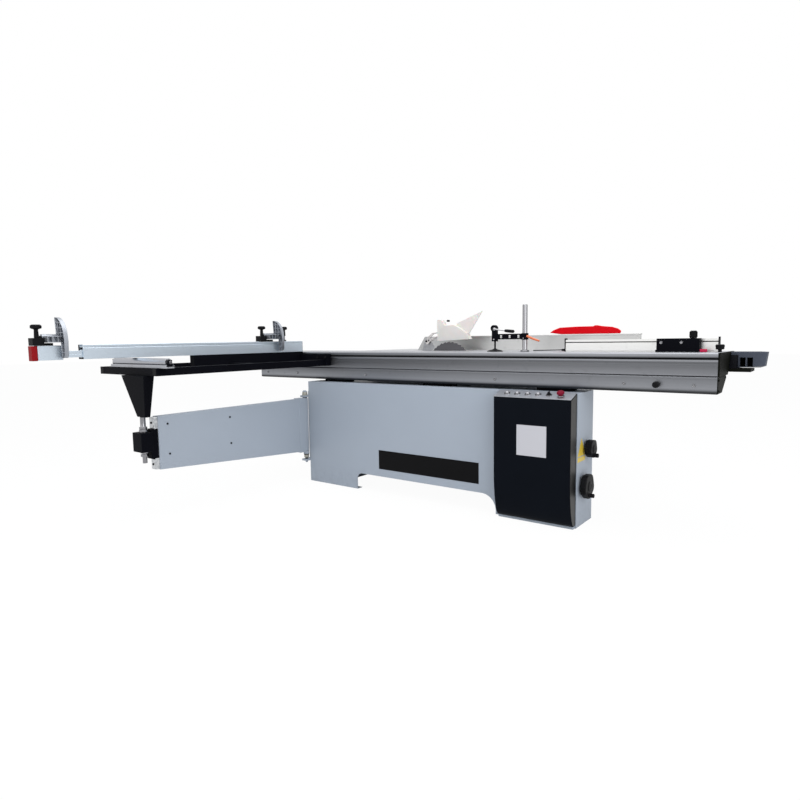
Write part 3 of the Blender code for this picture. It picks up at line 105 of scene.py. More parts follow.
class Finish:
    """One material, built around a Principled shader."""

    def __init__(self, name, slot, metallic=0.0, gleam=0.5):
        self.slot = slot
        self.material = bpy.data.materials.new(name)
        self.material.use_nodes = True
        self.tree = self.material.node_tree
        self.shader = self.tree.nodes["Principled BSDF"]
        self.set("Metallic", metallic)
        self.set("Specular IOR Level", gleam)
        self.place = self.node("ShaderNodeTexCoord", output="Object")

    def feed(self, socket, value):
        if isinstance(value, Wire):
            self.tree.links.new(value.socket, socket)
        elif isinstance(value, tuple) and socket.type == "RGBA":
            socket.default_value = (*value[:3], 1)
        else:
            socket.default_value = value

    def node(self, kind, settings=None, inputs=None, output=0):
        """Adds a node with its settings and inputs, and gives one of its outputs."""
        made = self.tree.nodes.new(kind)
        for key, value in (settings or {}).items():
            if key == "stops":
                ramp = made.color_ramp
                while len(ramp.elements) < len(value):
                    ramp.elements.new(1)
                for element, (place, level) in zip(ramp.elements, value):
                    element.position = place
                    element.color = (level, level, level, 1)
            else:
                setattr(made, key, value)
        for key, value in (inputs or {}).items():
            self.feed(made.inputs[key], value)
        return Wire(self, made.outputs[output])

    def set(self, socket, value):
        self.feed(self.shader.inputs[socket], value)

    def noise(self, scale, detail=2.0, stretch=(1, 1, 1)):
        place = self.node("ShaderNodeMapping", None, {"Vector": self.place, "Scale": stretch})
        return self.node("ShaderNodeTexNoise", None,
                         {"Vector": place, "Scale": scale, "Detail": detail})

    def ramp(self, value, *stops):
        return self.node("ShaderNodeValToRGB", {"stops": stops}, {0: value})

    def blend(self, mask, plain, other):
        return self.node("ShaderNodeMix", {"data_type": "RGBA"}, {0: mask, 6: plain, 7: other}, 2)

    def bump(self, height, distance):
        return self.node("ShaderNodeBump", None,
                         {"Height": height, "Distance": distance, "Strength": 1.0})

    def axis(self, name):
        return self.node("ShaderNodeSeparateXYZ", None, {0: self.place}, name)


def shade(colour, share):
    return tuple(min(1.0, c * share) for c in colour)


def coated(name, slot, colour, roughness, peel=0.00012, peel_scale=700, uneven=0.06, soiled=0.0,
           gleam=0.5):
    """Powder coat or paint: orange peel, slow unevenness, and dust that settles low down."""
    finish = Finish(name, slot, gleam=gleam)
    slow, fine = finish.noise(5, 3), finish.noise(peel_scale, 2)
    tone = finish.blend(slow, shade(colour, 1 - uneven), shade(colour, 1 + uneven))
    if soiled:
        low = finish.ramp(finish.axis("Z"), (0.0, 1.0), (0.16, 0.0))
        patchy = finish.ramp(finish.noise(38, 5), (0.42, 0.0), (0.70, 1.0))
        tone = finish.blend(low * patchy * soiled, tone, shade(colour, 0.55))
    finish.set("Base Color", tone)
    finish.set("Roughness", slow * 0.10 + (roughness - 0.05) + fine * 0.04)
    finish.set("Normal", finish.bump(fine, peel))
    return finish


def drawn(name, slot, colour, roughness, along, uneven=0.05, scratch=0.00004, painted_shading=()):
    """Extruded or ground metal: fine lines along one axis, handling marks, and any painted shading
    bands.

    A painted shading band is (height, level): painted shade and painted highlights make the surface
    lighter or darker at some heights.
    """
    finish = Finish(name, slot, metallic=1.0)
    across = [1.0, 1.0, 1.0]
    across[along] = 0.012
    lines = finish.noise(620, 3, tuple(across))
    bands = finish.noise(60, 2, tuple(across))
    marks = finish.ramp(finish.noise(23, 6), (0.60, 0.0), (0.72, 1.0))
    tone = finish.blend(bands, shade(colour, 1 - uneven), shade(colour, 1 + uneven))
    tone = finish.blend(marks * 0.5, tone, shade(colour, 0.86))
    # painted shade and painted highlights: the base colour is darkened or lightened by height
    if painted_shading:
        low, high = painted_shading[0][0], painted_shading[-1][0]
        height = (finish.axis("Z") - low) * (1 / (high - low))
        level = finish.ramp(height, *(((z - low) / (high - low), share) for z, share in painted_shading))
        tone = finish.blend(level, shade(colour, 0.10), tone)
    finish.set("Base Color", tone)
    finish.set("Roughness", lines * 0.16 + (roughness - 0.08) + marks * 0.06)
    finish.set("Normal", finish.bump(lines, scratch))
    return finish


def moulded(name, slot, colour, roughness, grain=0.00010, grain_scale=1300, gleam=0.5):
    """Moulded plastic: a fine eroded grain with handling shine in patches."""
    finish = Finish(name, slot, gleam=gleam)
    grains, patches = finish.noise(grain_scale, 3), finish.noise(30, 3)
    finish.set("Base Color", finish.blend(patches, shade(colour, 0.90), shade(colour, 1.10)))
    finish.set("Roughness", patches * 0.16 + (roughness - 0.08))
    finish.set("Normal", finish.bump(grains, grain))
    return finish


def cast(name, slot, colour, roughness, metallic, size=0.0003):
    """Cast or die-cast metal: a slightly pitted skin."""
    finish = Finish(name, slot, metallic=metallic)
    skin, spots = finish.noise(240, 5), finish.noise(14, 4)
    finish.set("Base Color", finish.blend(spots, shade(colour, 0.90), shade(colour, 1.08)))
    finish.set("Roughness", skin * 0.18 + (roughness - 0.09))
    finish.set("Normal", finish.bump(skin, size))
    return finish


def galvanised(name, slot):
    """Zinc: pale crystals of several tones."""
    finish = Finish(name, slot, metallic=0.9)
    crystals = finish.node("ShaderNodeTexVoronoi", None, {"Vector": finish.place, "Scale": 90},
                           "Color")
    tone = finish.node("ShaderNodeSeparateColor", None, {0: crystals})
    finish.set("Base Color", finish.blend(tone, (0.48, 0.50, 0.52), (0.66, 0.67, 0.68)))
    finish.set("Roughness", tone * 0.18 + 0.34)
    return finish


def milky(name, slot, colour):
    """Milky translucent moulding of the blade guard."""
    finish = Finish(name, slot)
    cloud = finish.noise(26, 3)
    finish.set("Base Color", finish.blend(cloud, shade(colour, 0.94), colour))
    finish.set("Roughness", cloud * 0.15 + 0.24)
    finish.set("Normal", finish.bump(finish.noise(90, 2), 0.0002))
    finish.set("Transmission Weight", 0.30)
    finish.set("Subsurface Weight", 0.25)
    finish.set("Subsurface Scale", 0.01)
    return finish


def turned_disc(name, slot, colour, roughness, centre):
    """Ground blade: rings about the arbor."""
    finish = Finish(name, slot, metallic=1.0)
    offset = finish.node("ShaderNodeVectorMath", {"operation": "SUBTRACT"},
                         {0: finish.place, 1: centre})
    radius = finish.node("ShaderNodeVectorMath", {"operation": "LENGTH"}, {0: offset}, "Value")
    rings = finish.node("ShaderNodeTexNoise", {"noise_dimensions": "1D"},
                        {"W": radius, "Scale": 900, "Detail": 3})
    finish.set("Base Color", finish.blend(rings, shade(colour, 0.82), shade(colour, 1.12)))
    finish.set("Roughness", rings * 0.2 + (roughness - 0.1))
    finish.set("Normal", finish.bump(rings, 0.00005))
    return finish


POWDER = coated("light_powder_coat", "powder_coat", (0.285, 0.322, 0.375), 0.46, soiled=0.25,
                uneven=0.03, gleam=0.4)
COVER_BLACK = coated("cover_black", "black_coat", (0.0024, 0.0036, 0.0062), 0.44, uneven=0.2,
                     gleam=0.035)
FRAME_BLACK = coated("frame_black", "black_coat", (0.0022, 0.0024, 0.0042), 0.48, uneven=0.25,
                     peel=0.00018, gleam=0.035)
OLIVE_BLACK = coated("end_plate_black", "black_coat", (0.0040, 0.0044, 0.0032), 0.56, uneven=0.3,
                     gleam=0.045)
# heights and levels of painted shade and painted highlights along the rails: the light and shade on
# the curved and grooved faces of the table and beam, painted into their colour
TABLE_PAINTED_SHADING = ((0.775, 0.75), (0.780, 0.62), (0.786, 0.50), (0.800, 0.40), (0.812, 0.30),
               (0.824, 0.20), (0.832, 0.24), (0.838, 0.42), (0.843, 0.80), (0.848, 0.60),
               (0.8505, 0.10), (0.8605, 0.12), (0.8640, 0.55), (0.870, 0.70), (0.8765, 0.85),
               (0.880, 1.0))
BEAM_PAINTED_SHADING = ((0.698, 0.02), (0.705, 0.06), (0.710, 0.26), (0.716, 0.75), (0.723, 0.90),
              (0.745, 0.70), (0.757, 0.60), (0.764, 0.48), (0.7745, 0.62))
# the table and beam colours carry painted shade and painted highlights by height
TABLE_ALUMINIUM = drawn("table_aluminium", "aluminium", (0.335, 0.345, 0.372), 0.42, 1, 0.06,
                        painted_shading=TABLE_PAINTED_SHADING)
BEAM_ALUMINIUM = drawn("beam_aluminium", "aluminium", (0.300, 0.310, 0.335), 0.42, 1, 0.06,
                       painted_shading=BEAM_PAINTED_SHADING)
RAIL_ALUMINIUM = drawn("roller_aluminium", "aluminium", (0.400, 0.410, 0.440), 0.34, 1, 0.06)
PALE_RAIL = drawn("fence_aluminium", "pale_aluminium", (0.540, 0.610, 0.680), 0.40, 0, 0.04)
FENCE_PLATE = drawn("edge_fence_aluminium", "aluminium", (0.620, 0.620, 0.610), 0.36, 1, 0.04)
RIP_PLATE = drawn("rip_fence_aluminium", "aluminium", (0.520, 0.520, 0.515), 0.40, 1, 0.03)
PANEL_STEEL = drawn("control_panel_steel", "powder_coat", (0.430, 0.450, 0.490), 0.36, 1, 0.05)
TRIM_STEEL = drawn("cover_trim_steel", "black_coat", (0.036, 0.036, 0.035), 0.40, 2, 0.10)
DIE_CAST = cast("stop_die_cast", "pale_aluminium", (0.330, 0.350, 0.385), 0.42, 0.85, 0.0002)
GROUND_IRON = drawn("ground_table", "cast_iron", (0.430, 0.440, 0.455), 0.36, 1, 0.05)
ROUGH_IRON = cast("rough_casting", "cast_iron", (0.100, 0.105, 0.112), 0.60, 0.3)
STEEL = drawn("machined_steel", "machined_steel", (0.400, 0.400, 0.410), 0.32, 0, 0.05)
HINGE_CAST = cast("hinge_cast", "machined_steel", (0.300, 0.290, 0.255), 0.50, 0.30, 0.0002)
ZINC = galvanised("galvanised_tube", "machined_steel")
CHROME = drawn("chromed_steel", "chrome", (0.255, 0.255, 0.268), 0.14, 2, 0.02, 0.000002)
BLADE_STEEL = turned_disc("blade_steel", "saw_steel", (0.125, 0.122, 0.130), 0.36,
                          tuple(SAW + Vector((0, 0, BLADE_Z))))
SCORER_STEEL = turned_disc("scorer_steel", "saw_steel", (0.180, 0.180, 0.188), 0.34,
                           tuple(SAW + Vector((0, SCORER_Y, SCORER_Z))))
BLACK_PLASTIC = moulded("black_plastic", "black_plastic", (0.0040, 0.0040, 0.0050), 0.48,
                        gleam=0.09)
SLATE_PLASTIC = moulded("slate_plastic", "grey_plastic", (0.046, 0.054, 0.074), 0.52, gleam=0.2)
RED_PLASTIC = moulded("red_plastic", "red_plastic", (0.600, 0.002, 0.008), 0.42, 0.00004,
                      gleam=0.06)
STOP_RED = moulded("stop_red", "red_plastic", (0.150, 0.004, 0.018), 0.42, 0.00004, gleam=0.08)
CAP_RED = moulded("cap_red", "red_plastic", (0.220, 0.007, 0.010), 0.44, 0.00006, gleam=0.06)
PINK_FOOT = moulded("foot_red", "red_plastic", (0.420, 0.016, 0.060), 0.40, 0.00006, gleam=0.15)
ORANGE = moulded("orange_lever", "red_plastic", (0.640, 0.180, 0.085), 0.42, 0.00006, gleam=0.2)
GUARD = milky("milky_guard", "guard_plastic", (0.860, 0.815, 0.785))
LINK_WHITE = moulded("guard_link_white", "guard_plastic", (0.620, 0.590, 0.570), 0.36, 0.00006)
ENAMEL = coated("motor_enamel", "motor_paint", (0.085, 0.120, 0.170), 0.42)
RUBBER = moulded("belt_rubber", "belt_rubber", (0.012, 0.012, 0.012), 0.75, 0.0002, 900, gleam=0.2)
STICKER = coated("pale_sticker", "powder_coat", (0.420, 0.420, 0.450), 0.40, 0.00003, 400, 0.02)
YELLOW = coated("yellow_sticker", "powder_coat", (0.560, 0.400, 0.035), 0.42, 0.00003, 400, 0.03)
PLATE_BLACK = coated("name_plate_black", "black_coat", (0.0045, 0.0045, 0.0050), 0.34, 0.00003,
                     400, 0.1, gleam=0.05)
# near-black that paints shade: sheets in slots, pockets and grooves, and the packing under the beam
PAINTED_SHADE_BLACK = moulded("shadow_black", "black_plastic", (0.002, 0.002, 0.0025), 0.9, gleam=0.02)


# ---- making pieces ---------------------------------------------------------------------
# every shape is put on the bench, and finish_piece makes a piece of all that lies there
bench = bmesh.new()


def about(centre, half):
    """The values either side of a centre."""
    return centre - half, centre + half


def rectangle(a, b):
    """The corners of an outline between two values on each axis."""
    return [(a[0], b[0]), (a[1], b[0]), (a[1], b[1]), (a[0], b[1])]


def points_from(a, b, offsets):
    """An outline given by its distances from a place on two axes."""
    return [(a + x, b + y) for x, y in offsets]


def outline_solid(axis, outlines, span):
    """One outline with any holes, extruded along an axis.

    The points are (y, z) along X, (x, z) along Y and (x, y) along Z.
    """
    place = {
        "X": lambda a, b, along: (along, a, b),
        "Y": lambda a, b, along: (a, along, b),
        "Z": lambda a, b, along: (a, b, along),
    }[axis]
    edges = []
    for outline in outlines:
        ring = [bench.verts.new(place(a, b, span[0])) for a, b in outline]
        edges += [bench.edges.new((ring[i - 1], ring[i])) for i in range(len(ring))]
    if len(outlines) == 1:
        faces = [bench.faces.new(ring)]
    else:
        filled = bmesh.ops.triangle_fill(bench, edges=edges, use_beauty=True, use_dissolve=False)
        faces = [f for f in filled["geom"] if isinstance(f, bmesh.types.BMFace)]
    grown = bmesh.ops.extrude_face_region(bench, geom=faces, use_keep_orig=True)
    moved = [v for v in grown["geom"] if isinstance(v, bmesh.types.BMVert)]
    step = Vector(place(0, 0, span[1])) - Vector(place(0, 0, span[0]))
    bmesh.ops.translate(bench, verts=moved, vec=step)


def block(x, y, z):
    """A rectangular block between two values on each axis."""
    size = Matrix.Diagonal((x[1] - x[0], y[1] - y[0], z[1] - z[0], 1))
    centre = Matrix.Translation(((x[0] + x[1]) / 2, (y[0] + y[1]) / 2, (z[0] + z[1]) / 2))
    bmesh.ops.create_cube(bench, size=1, matrix=centre @ size)


def bar(start, end, radius, sides=20, far=None):
    """A round bar between two points, or a taper if far is another radius."""
    start, end = Vector(start), Vector(end)
    turn = (end - start).to_track_quat("Z", "Y").to_matrix().to_4x4()
    place = Matrix.Translation((start + end) / 2) @ turn
    return bmesh.ops.create_cone(bench, segments=sides, radius1=radius,
                                 radius2=radius if far is None else far,
                                 depth=(end - start).length, cap_ends=True, matrix=place)["verts"]


def turning(centre, direction, profile, sides=28):
    """(radius, distance) points turned about a direction through a centre."""
    for vert in bench.verts:
        vert.tag = True
    rows = [(0.0, profile[0][1]), *profile, (0.0, profile[-1][1])]
    verts = [bench.verts.new((radius, 0, along)) for radius, along in rows]
    edges = [bench.edges.new(pair) for pair in zip(verts, verts[1:])]
    bmesh.ops.spin(bench, geom=verts + edges, cent=(0, 0, 0), axis=(0, 0, 1),
                   angle=2 * math.pi, steps=sides, use_merge=True)
    fresh = [v for v in bench.verts if not v.tag]
    bmesh.ops.remove_doubles(bench, verts=fresh, dist=1e-6)
    fresh = [v for v in bench.verts if not v.tag]
    turn = Vector(direction).to_track_quat("Z", "Y").to_matrix().to_4x4()
    bmesh.ops.transform(bench, matrix=Matrix.Translation(centre) @ turn, verts=fresh)


def screw_head(at, direction, radius, height):
    """A screw's round head, with a socket in its end."""
    direction = Vector(direction).normalized()
    at = Vector(at)
    verts = bar(at, at + direction * height, radius, 18)
    ends = {f for v in verts for f in v.link_faces if len(f.verts) > 4}
    top = max(ends, key=lambda f: f.calc_center_median().dot(direction))
    for rim in (0.18, 0.30):
        bmesh.ops.inset_region(bench, faces=[top], thickness=radius * rim, depth=0)
    bmesh.ops.translate(bench, verts=top.verts, vec=direction * -height * 0.6)


def off_bench(name):
    """Makes an object of what is on the bench, and clears the bench."""
    mesh = bpy.data.meshes.new(name)
    bench.to_mesh(mesh)
    bench.clear()
    obj = bpy.data.objects.new(name, mesh)
    bpy.context.scene.collection.objects.link(obj)
    return obj


def finish_piece(name, body, finish, edge=0.0, segments=2, at_saw=True, smooth=35):
    """Takes a piece off the bench to its place and body, with broken edges and its finish."""
    bmesh.ops.recalc_face_normals(bench, faces=bench.faces)
    if at_saw:
        bmesh.ops.translate(bench, verts=bench.verts, vec=SAW)
    obj = off_bench(name)
    obj.data.materials.append(finish.material)
    obj.data.shade_smooth()
    obj.data.set_sharp_from_angle(angle=math.radians(smooth))
    if edge:
        bevel = obj.modifiers.new("broken_edges", "BEVEL")
        bevel.width = edge
        bevel.segments = segments
        bevel.limit_method = "ANGLE"
        bevel.angle_limit = math.radians(smooth)
        bevel.use_clamp_overlap = True
    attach(obj, body)
    return obj


def refined(node, finish, edge=0.001, segments=2, smooth=35):
    """A finished copy of a CAD node, its flat faces joined and its edges broken."""
    bench.from_mesh(frame["nodes"][node].data)
    bmesh.ops.remove_doubles(bench, verts=bench.verts, dist=2e-5)
    bmesh.ops.dissolve_limit(bench, angle_limit=math.radians(0.8), verts=bench.verts,
                             edges=bench.edges)
    obj = finish_piece(node + "_finished", BODY_OF[node], finish, edge, segments, False, smooth)
    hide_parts(node)
    return obj


def painted(node, finish):
    """A CAD node that keeps its own shape and takes a finish."""
    obj = frame["nodes"][node]
    obj.data.materials.clear()
    obj.data.materials.append(finish.material)


def on_panel(y, along, above=0.0):
    """A point over the sloping control panel."""
    cos, sin = math.cos(PANEL_RISE), math.sin(PANEL_RISE)
    return Vector((COVER_X + along * cos - above * sin, y, COVER_TOP + along * sin + above * cos))


# ---- sliding table and beam ------------------------------------------------------------
def grooves(*places):
    """Points of shallow grooves in the table's top."""
    return [(x + side, TABLE_TOP - drop) for x in places
            for side, drop in ((-0.002, 0), (-0.001, 0.0012), (0.001, 0.0012), (0.002, 0))]


def make_table_section():
    out = TABLE_OUT
    section = [
        (out + 0.006, TABLE_LOW), (out, TABLE_LOW + 0.004), (out, 0.815), (out + 0.0010, 0.822),
        (out + 0.0030, 0.829), (out + 0.0035, 0.834), (out + 0.0025, 0.8385), (out, 0.8425),
        (out, SIDE_SLOT_LOW), (out + 0.012, SIDE_SLOT_LOW), (out + 0.012, SIDE_SLOT_TOP),
        (out, SIDE_SLOT_TOP), (out, 0.8755), (out + 0.0015, 0.8785), (out + 0.0045, TABLE_TOP),
        *grooves(-0.345, -0.300, -0.265),
        (SLOT_X - 0.007, TABLE_TOP), (SLOT_X - 0.007, 0.875), (SLOT_X - 0.011, 0.875),
        (SLOT_X - 0.011, 0.866), (SLOT_X + 0.011, 0.866), (SLOT_X + 0.011, 0.875),
        (SLOT_X + 0.007, 0.875), (SLOT_X + 0.007, TABLE_TOP),
        *grooves(-0.190, -0.150, -0.110, -0.070, -0.035),
        (TABLE_IN - 0.001, TABLE_TOP), (TABLE_IN, 0.879), (TABLE_IN, 0.871),
        (TABLE_IN - 0.078, 0.862),
        (BEAM_IN + 0.020, 0.777), (BEAM_IN + 0.020, TABLE_LOW), (-0.262, TABLE_LOW),
        (-0.266, TABLE_LOW + 0.003), (-0.324, TABLE_LOW + 0.003), (-0.328, TABLE_LOW),
    ]
    chamber = rectangle((-0.375, -0.242), (0.782, 0.858))
    inner = [(-0.216, 0.782), (-0.187, 0.782), (-0.122, 0.848), (-0.122, 0.858), (-0.216, 0.858)]
    outline_solid("Y", [section, chamber, inner], TABLE_ENDS)
    obj = finish_piece("sliding_table_section", "sliding_table", TABLE_ALUMINIUM, smooth=24)
    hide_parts("sliding_table")

    # a near-black sheet at the back of the side slot paints the shade inside it
    block((out + 0.0115, out + 0.0118), (TABLE_ENDS[0] + 0.001, TABLE_ENDS[1] - 0.001),
          (SIDE_SLOT_LOW + 0.0005, SIDE_SLOT_TOP - 0.0005))
    finish_piece("side_slot_painted_shade", "sliding_table", PAINTED_SHADE_BLACK)


def make_beam():
    out = TABLE_OUT
    beam = [
        (out + 0.009, BEAM_LOW), (out + 0.0015, 0.7065), (out, 0.711),
        (out, BEAM_TOP - 0.003), (out + 0.003, BEAM_TOP), (-0.325, BEAM_TOP),
        (-0.325, BEAM_TOP - 0.018), (-0.265, BEAM_TOP - 0.018), (-0.265, BEAM_TOP),
        (BEAM_IN, BEAM_TOP), (BEAM_IN, BEAM_TOP - 0.020), (out + 0.105, BEAM_LOW),
    ]
    hollow = [(-0.384, 0.706), (-0.295, 0.706), (-0.281, 0.720), (-0.281, 0.748), (-0.384, 0.748)]
    outline_solid("Y", [beam, hollow], TABLE_ENDS)
    obj = finish_piece("carrier_beam_section", "base", BEAM_ALUMINIUM, smooth=24)
    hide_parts("carrier_beam")

    for y in (1.309, 1.003, 0.382, -0.539, -1.224, -1.528):
        screw_head((out + 0.0025, y, 0.735), (-1, 0, 0), 0.0075, 0.0065)
    finish_piece("beam_bolts", "base", CHROME, 0.0006)

    cover = [(out + 0.002, BEAM_LOW + 0.002), (out + 0.002, BEAM_TOP - 0.002),
             (BEAM_IN - 0.002, BEAM_TOP - 0.002), (BEAM_IN - 0.002, BEAM_TOP - 0.018),
             (out + 0.103, BEAM_LOW + 0.002)]
    outline_solid("Y", [cover], (PLATE_ENDS[0], TABLE_ENDS[0]))
    outline_solid("Y", [cover], (TABLE_ENDS[1], PLATE_ENDS[1]))
    for end, way in zip(PLATE_ENDS, (-1, 1)):
        for x, z in ((-0.380, 0.760), (-0.215, 0.764), (-0.375, 0.712)):
            screw_head((x, end, z), (0, way, 0), 0.005, 0.003)
    finish_piece("beam_end_plates", "base", OLIVE_BLACK, 0.0008)


def make_table_fittings():
    out = TABLE_OUT
    cover = [(out + 0.002, TABLE_LOW + 0.002), (out + 0.002, TABLE_TOP - 0.002),
             (TABLE_IN - 0.002, TABLE_TOP - 0.002), (TABLE_IN - 0.002, 0.872),
             (TABLE_IN - 0.079, 0.863), (BEAM_IN + 0.018, 0.777)]
    outline_solid("Y", [cover], (TABLE_ENDS[1], PLATE_ENDS[1]))
    for x, z in ((-0.380, 0.865), (-0.150, 0.866), (-0.375, 0.790), (-0.200, 0.790)):
        screw_head((x, PLATE_ENDS[1], z), (0, 1, 0), 0.005, 0.003)
    finish_piece("table_outfeed_plate", "sliding_table", OLIVE_BLACK, 0.0008)

    # packing blocks under the beam: real supports, coloured near-black to paint the shade in the gap
    # under the beam
    for y in (-0.870, -0.150, 0.652):
        block((-0.386, -0.299), about(y, 0.091), (0.6830, 0.6975))
    finish_piece("beam_packing_and_painted_shade", "base", PAINTED_SHADE_BLACK)

    refined("table_end_plate", OLIVE_BLACK, 0.001)
    make_push_handle()
    refined("table_slot_knob", BLACK_PLASTIC, 0.001)
    turning((SLOT_X, TABLE_ENDS[0] + 0.020, TABLE_TOP), (0, 0, 1), [
        (0.0150, 0.0120), (0.0178, 0.0135), (0.0178, 0.0285), (0.0160, 0.0295)])
    finish_piece("slot_knob_skirt", "slot_knob", BLACK_PLASTIC, smooth=40)
    refined("beam_lock_knob", BLACK_PLASTIC, 0.0008)
    painted("roller_cage", STEEL)


def make_push_handle():
    """Grip at the table's infeed end, with two pockets in its near side."""
    near, far = -0.110, -0.020
    low, high = 0.8016, 0.878
    back = TABLE_ENDS[0] - 0.0086
    outline = [(near, back), (near, back - 0.127), (near + 0.004, back - 0.141),
               (near + 0.030, back - 0.145), (far, back - 0.112), (far, back)]
    outline_solid("Z", [outline], (low, high))
    side = min(bench.faces, key=lambda f: f.calc_center_median().x)
    rim = list(side.edges)
    bmesh.ops.delete(bench, geom=[side], context="FACES_ONLY")
    middle = (low + high) / 2
    pockets = (back - 0.036, back - 0.066)
    for start in pockets:
        corners = rectangle((start, start - 0.024), (middle - 0.030, middle + 0.012))
        mouth = [bench.verts.new((near, y, z)) for y, z in corners]
        floor = [bench.verts.new((near + 0.030, y, z)) for y, z in corners]
        for i in range(4):
            rim.append(bench.edges.new((mouth[i - 1], mouth[i])))
            bench.faces.new((mouth[i - 1], mouth[i], floor[i], floor[i - 1]))
        bench.faces.new(floor)
    bmesh.ops.triangle_fill(bench, edges=rim, use_beauty=True)
    nose = [v for v in bench.verts if v.co.y < back - 0.120]
    bmesh.ops.translate(bench, verts=nose, vec=(0, -0.005, 0))
    bmesh.ops.translate(bench, verts=[v for v in nose if v.co.z < middle], vec=(0, 0.008, 0.011))
    obj = finish_piece("push_handle_moulded", "sliding_table", SLATE_PLASTIC, 0.0025, 3)
    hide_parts("push_handle")
    # near-black sheets at the pocket floors paint the shade inside the pockets
    for start in pockets:
        block((near + 0.0292, near + 0.0298), (start - 0.0235, start - 0.0005),
              (middle - 0.0295, middle + 0.0115))
    finish_piece("push_handle_pocket_shade", "sliding_table", PAINTED_SHADE_BLACK)
    gusset = [(-0.163, low), (near - 0.0003, low), (near - 0.0003, low + 0.062),
              (-0.124, low + 0.062)]
    outline_solid("Y", [gusset], (back - 0.030, back - 0.0001))
    finish_piece("push_handle_gusset", "sliding_table", FRAME_BLACK, 0.0008)


# ---- cabinet and controls --------------------------------------------------------------
def make_cabinet():
    refined("cabinet", POWDER, 0.0018)
    refined("control_cover", COVER_BLACK, 0.0015)

    plinth_x = CABINET_X - 0.025
    curve_top, curve_height, steps = 0.265, 0.247, 12
    side = [(CABINET_X - 0.0005, curve_top - curve_height)]
    for step in range(steps + 1):
        angle = math.radians(90 - 90 * step / steps)
        side.append((COVER_X + 0.003 + (plinth_x - COVER_X) * (1 - math.cos(angle)),
                     curve_top - curve_height * math.sin(angle)))
    side += [(COVER_X + 0.003, COVER_TOP - 0.003),
             (CABINET_X - 0.0005, COVER_TOP + PANEL_DEPTH * math.tan(PANEL_RISE) - 0.004)]
    outline_solid("Y", [side], (COVER_INFEED - 0.0016, COVER_INFEED))
    finish_piece("cover_side_trim", "base", TRIM_STEEL, 0.0005)

    for y in (-0.612, -1.003):
        for z in (0.62, 0.31):
            screw_head((COVER_X, y, z), (-1, 0, 0), 0.004, 0.0018)
    finish_piece("cover_screws", "base", COVER_BLACK)


def make_controls():
    refined("control_panel", PANEL_STEEL, 0.0008)
    normal = on_panel(0, 0, 1) - on_panel(0, 0, 0)
    for y in (*BUTTON_Y.values(), SELECTOR_Y, EMERGENCY_Y):
        turning(on_panel(y, BUTTON_ROW, 0.003), normal, [
            (0.0115, 0.0), (0.0165, 0.0), (0.0165, 0.0015), (0.0150, 0.0032), (0.0118, 0.0036)])
    finish_piece("button_bezels", "base", CHROME, smooth=30)
    for node in BUTTON_Y:
        refined(node, CHROME, 0.0006)
    for node, y in BUTTON_Y.items():
        turning(on_panel(y, BUTTON_ROW, 0.0118), normal,
                [(0.0070, 0.0), (0.0070, 0.0007), (0.0060, 0.0012)])
        finish_piece(node + "_lens", node, STICKER)
    refined("selector_switch", BLACK_PLASTIC, 0.0008)
    refined("emergency_stop", STOP_RED, 0.0015, 3)

    for node, (x, z), radius, face in (("raise_handwheel", (-0.322, 0.393), 0.047, -1.064),
                                       ("tilt_handwheel", (-0.362, 0.206), 0.065, -1.060)):
        refined(node, BLACK_PLASTIC, 0.004, 3)
        turning((x, face, z), (0, -1, 0), [
            (radius * 0.42, -0.001), (radius * 0.42, 0.0015), (radius * 0.36, 0.0030),
            (radius * 0.20, 0.0030), (radius * 0.18, 0.0018)])
        finish_piece(node + "_hub_cap", BODY_OF[node], BLACK_PLASTIC, smooth=40)


def make_cabinet_fittings():
    block((CABINET_X - 0.0012, CABINET_X), (-0.465, 0.245), (0.153, 0.272))
    finish_piece("bare_name_plate", "base", PLATE_BLACK, 0.0004)
    film = 0.0004
    block((COVER_X - film, COVER_X), (-0.892, -0.731), (0.360, 0.517))
    finish_piece("bare_sticker", "base", STICKER)
    triangle = [(-0.434, 0.362), (-0.330, 0.362), (-0.382, 0.452)]
    for outline in (triangle, rectangle((-0.434, -0.330), (0.334, 0.357))):
        outline_solid("Y", [outline], (CABINET_INFEED - film, CABINET_INFEED))
    finish_piece("bare_caution_sticker", "base", YELLOW)

    block((CABINET_FAR, CABINET_FAR + 0.0015), (-0.420, 0.330), (0.190, 0.640))
    for y in (-0.405, 0.315):
        for z in (0.205, 0.625):
            screw_head((CABINET_FAR + 0.0015, y, z), (1, 0, 0), 0.006, 0.003)
    for step in range(9):
        z = 0.250 + step * 0.022
        block((CABINET_FAR + 0.0014, CABINET_FAR + 0.0040), (-0.150, 0.100), (z, z + 0.008))
    finish_piece("motor_door", "base", POWDER, 0.0006)
    turning((CABINET_FAR, 0.520, 0.180), (1, 0, 0), [
        (0.075, 0.0), (0.075, 0.004), (0.060, 0.005), (0.060, 0.050), (0.057, 0.050),
        (0.057, 0.002)])
    finish_piece("dust_outlet", "base", FRAME_BLACK, smooth=40)
    turning((CABINET_FAR, -0.560, 0.560), (1, 0, 0), [
        (0.016, 0.0), (0.016, 0.008), (0.012, 0.010), (0.012, 0.022), (0.007, 0.026)])
    finish_piece("cable_gland", "base", BLACK_PLASTIC)


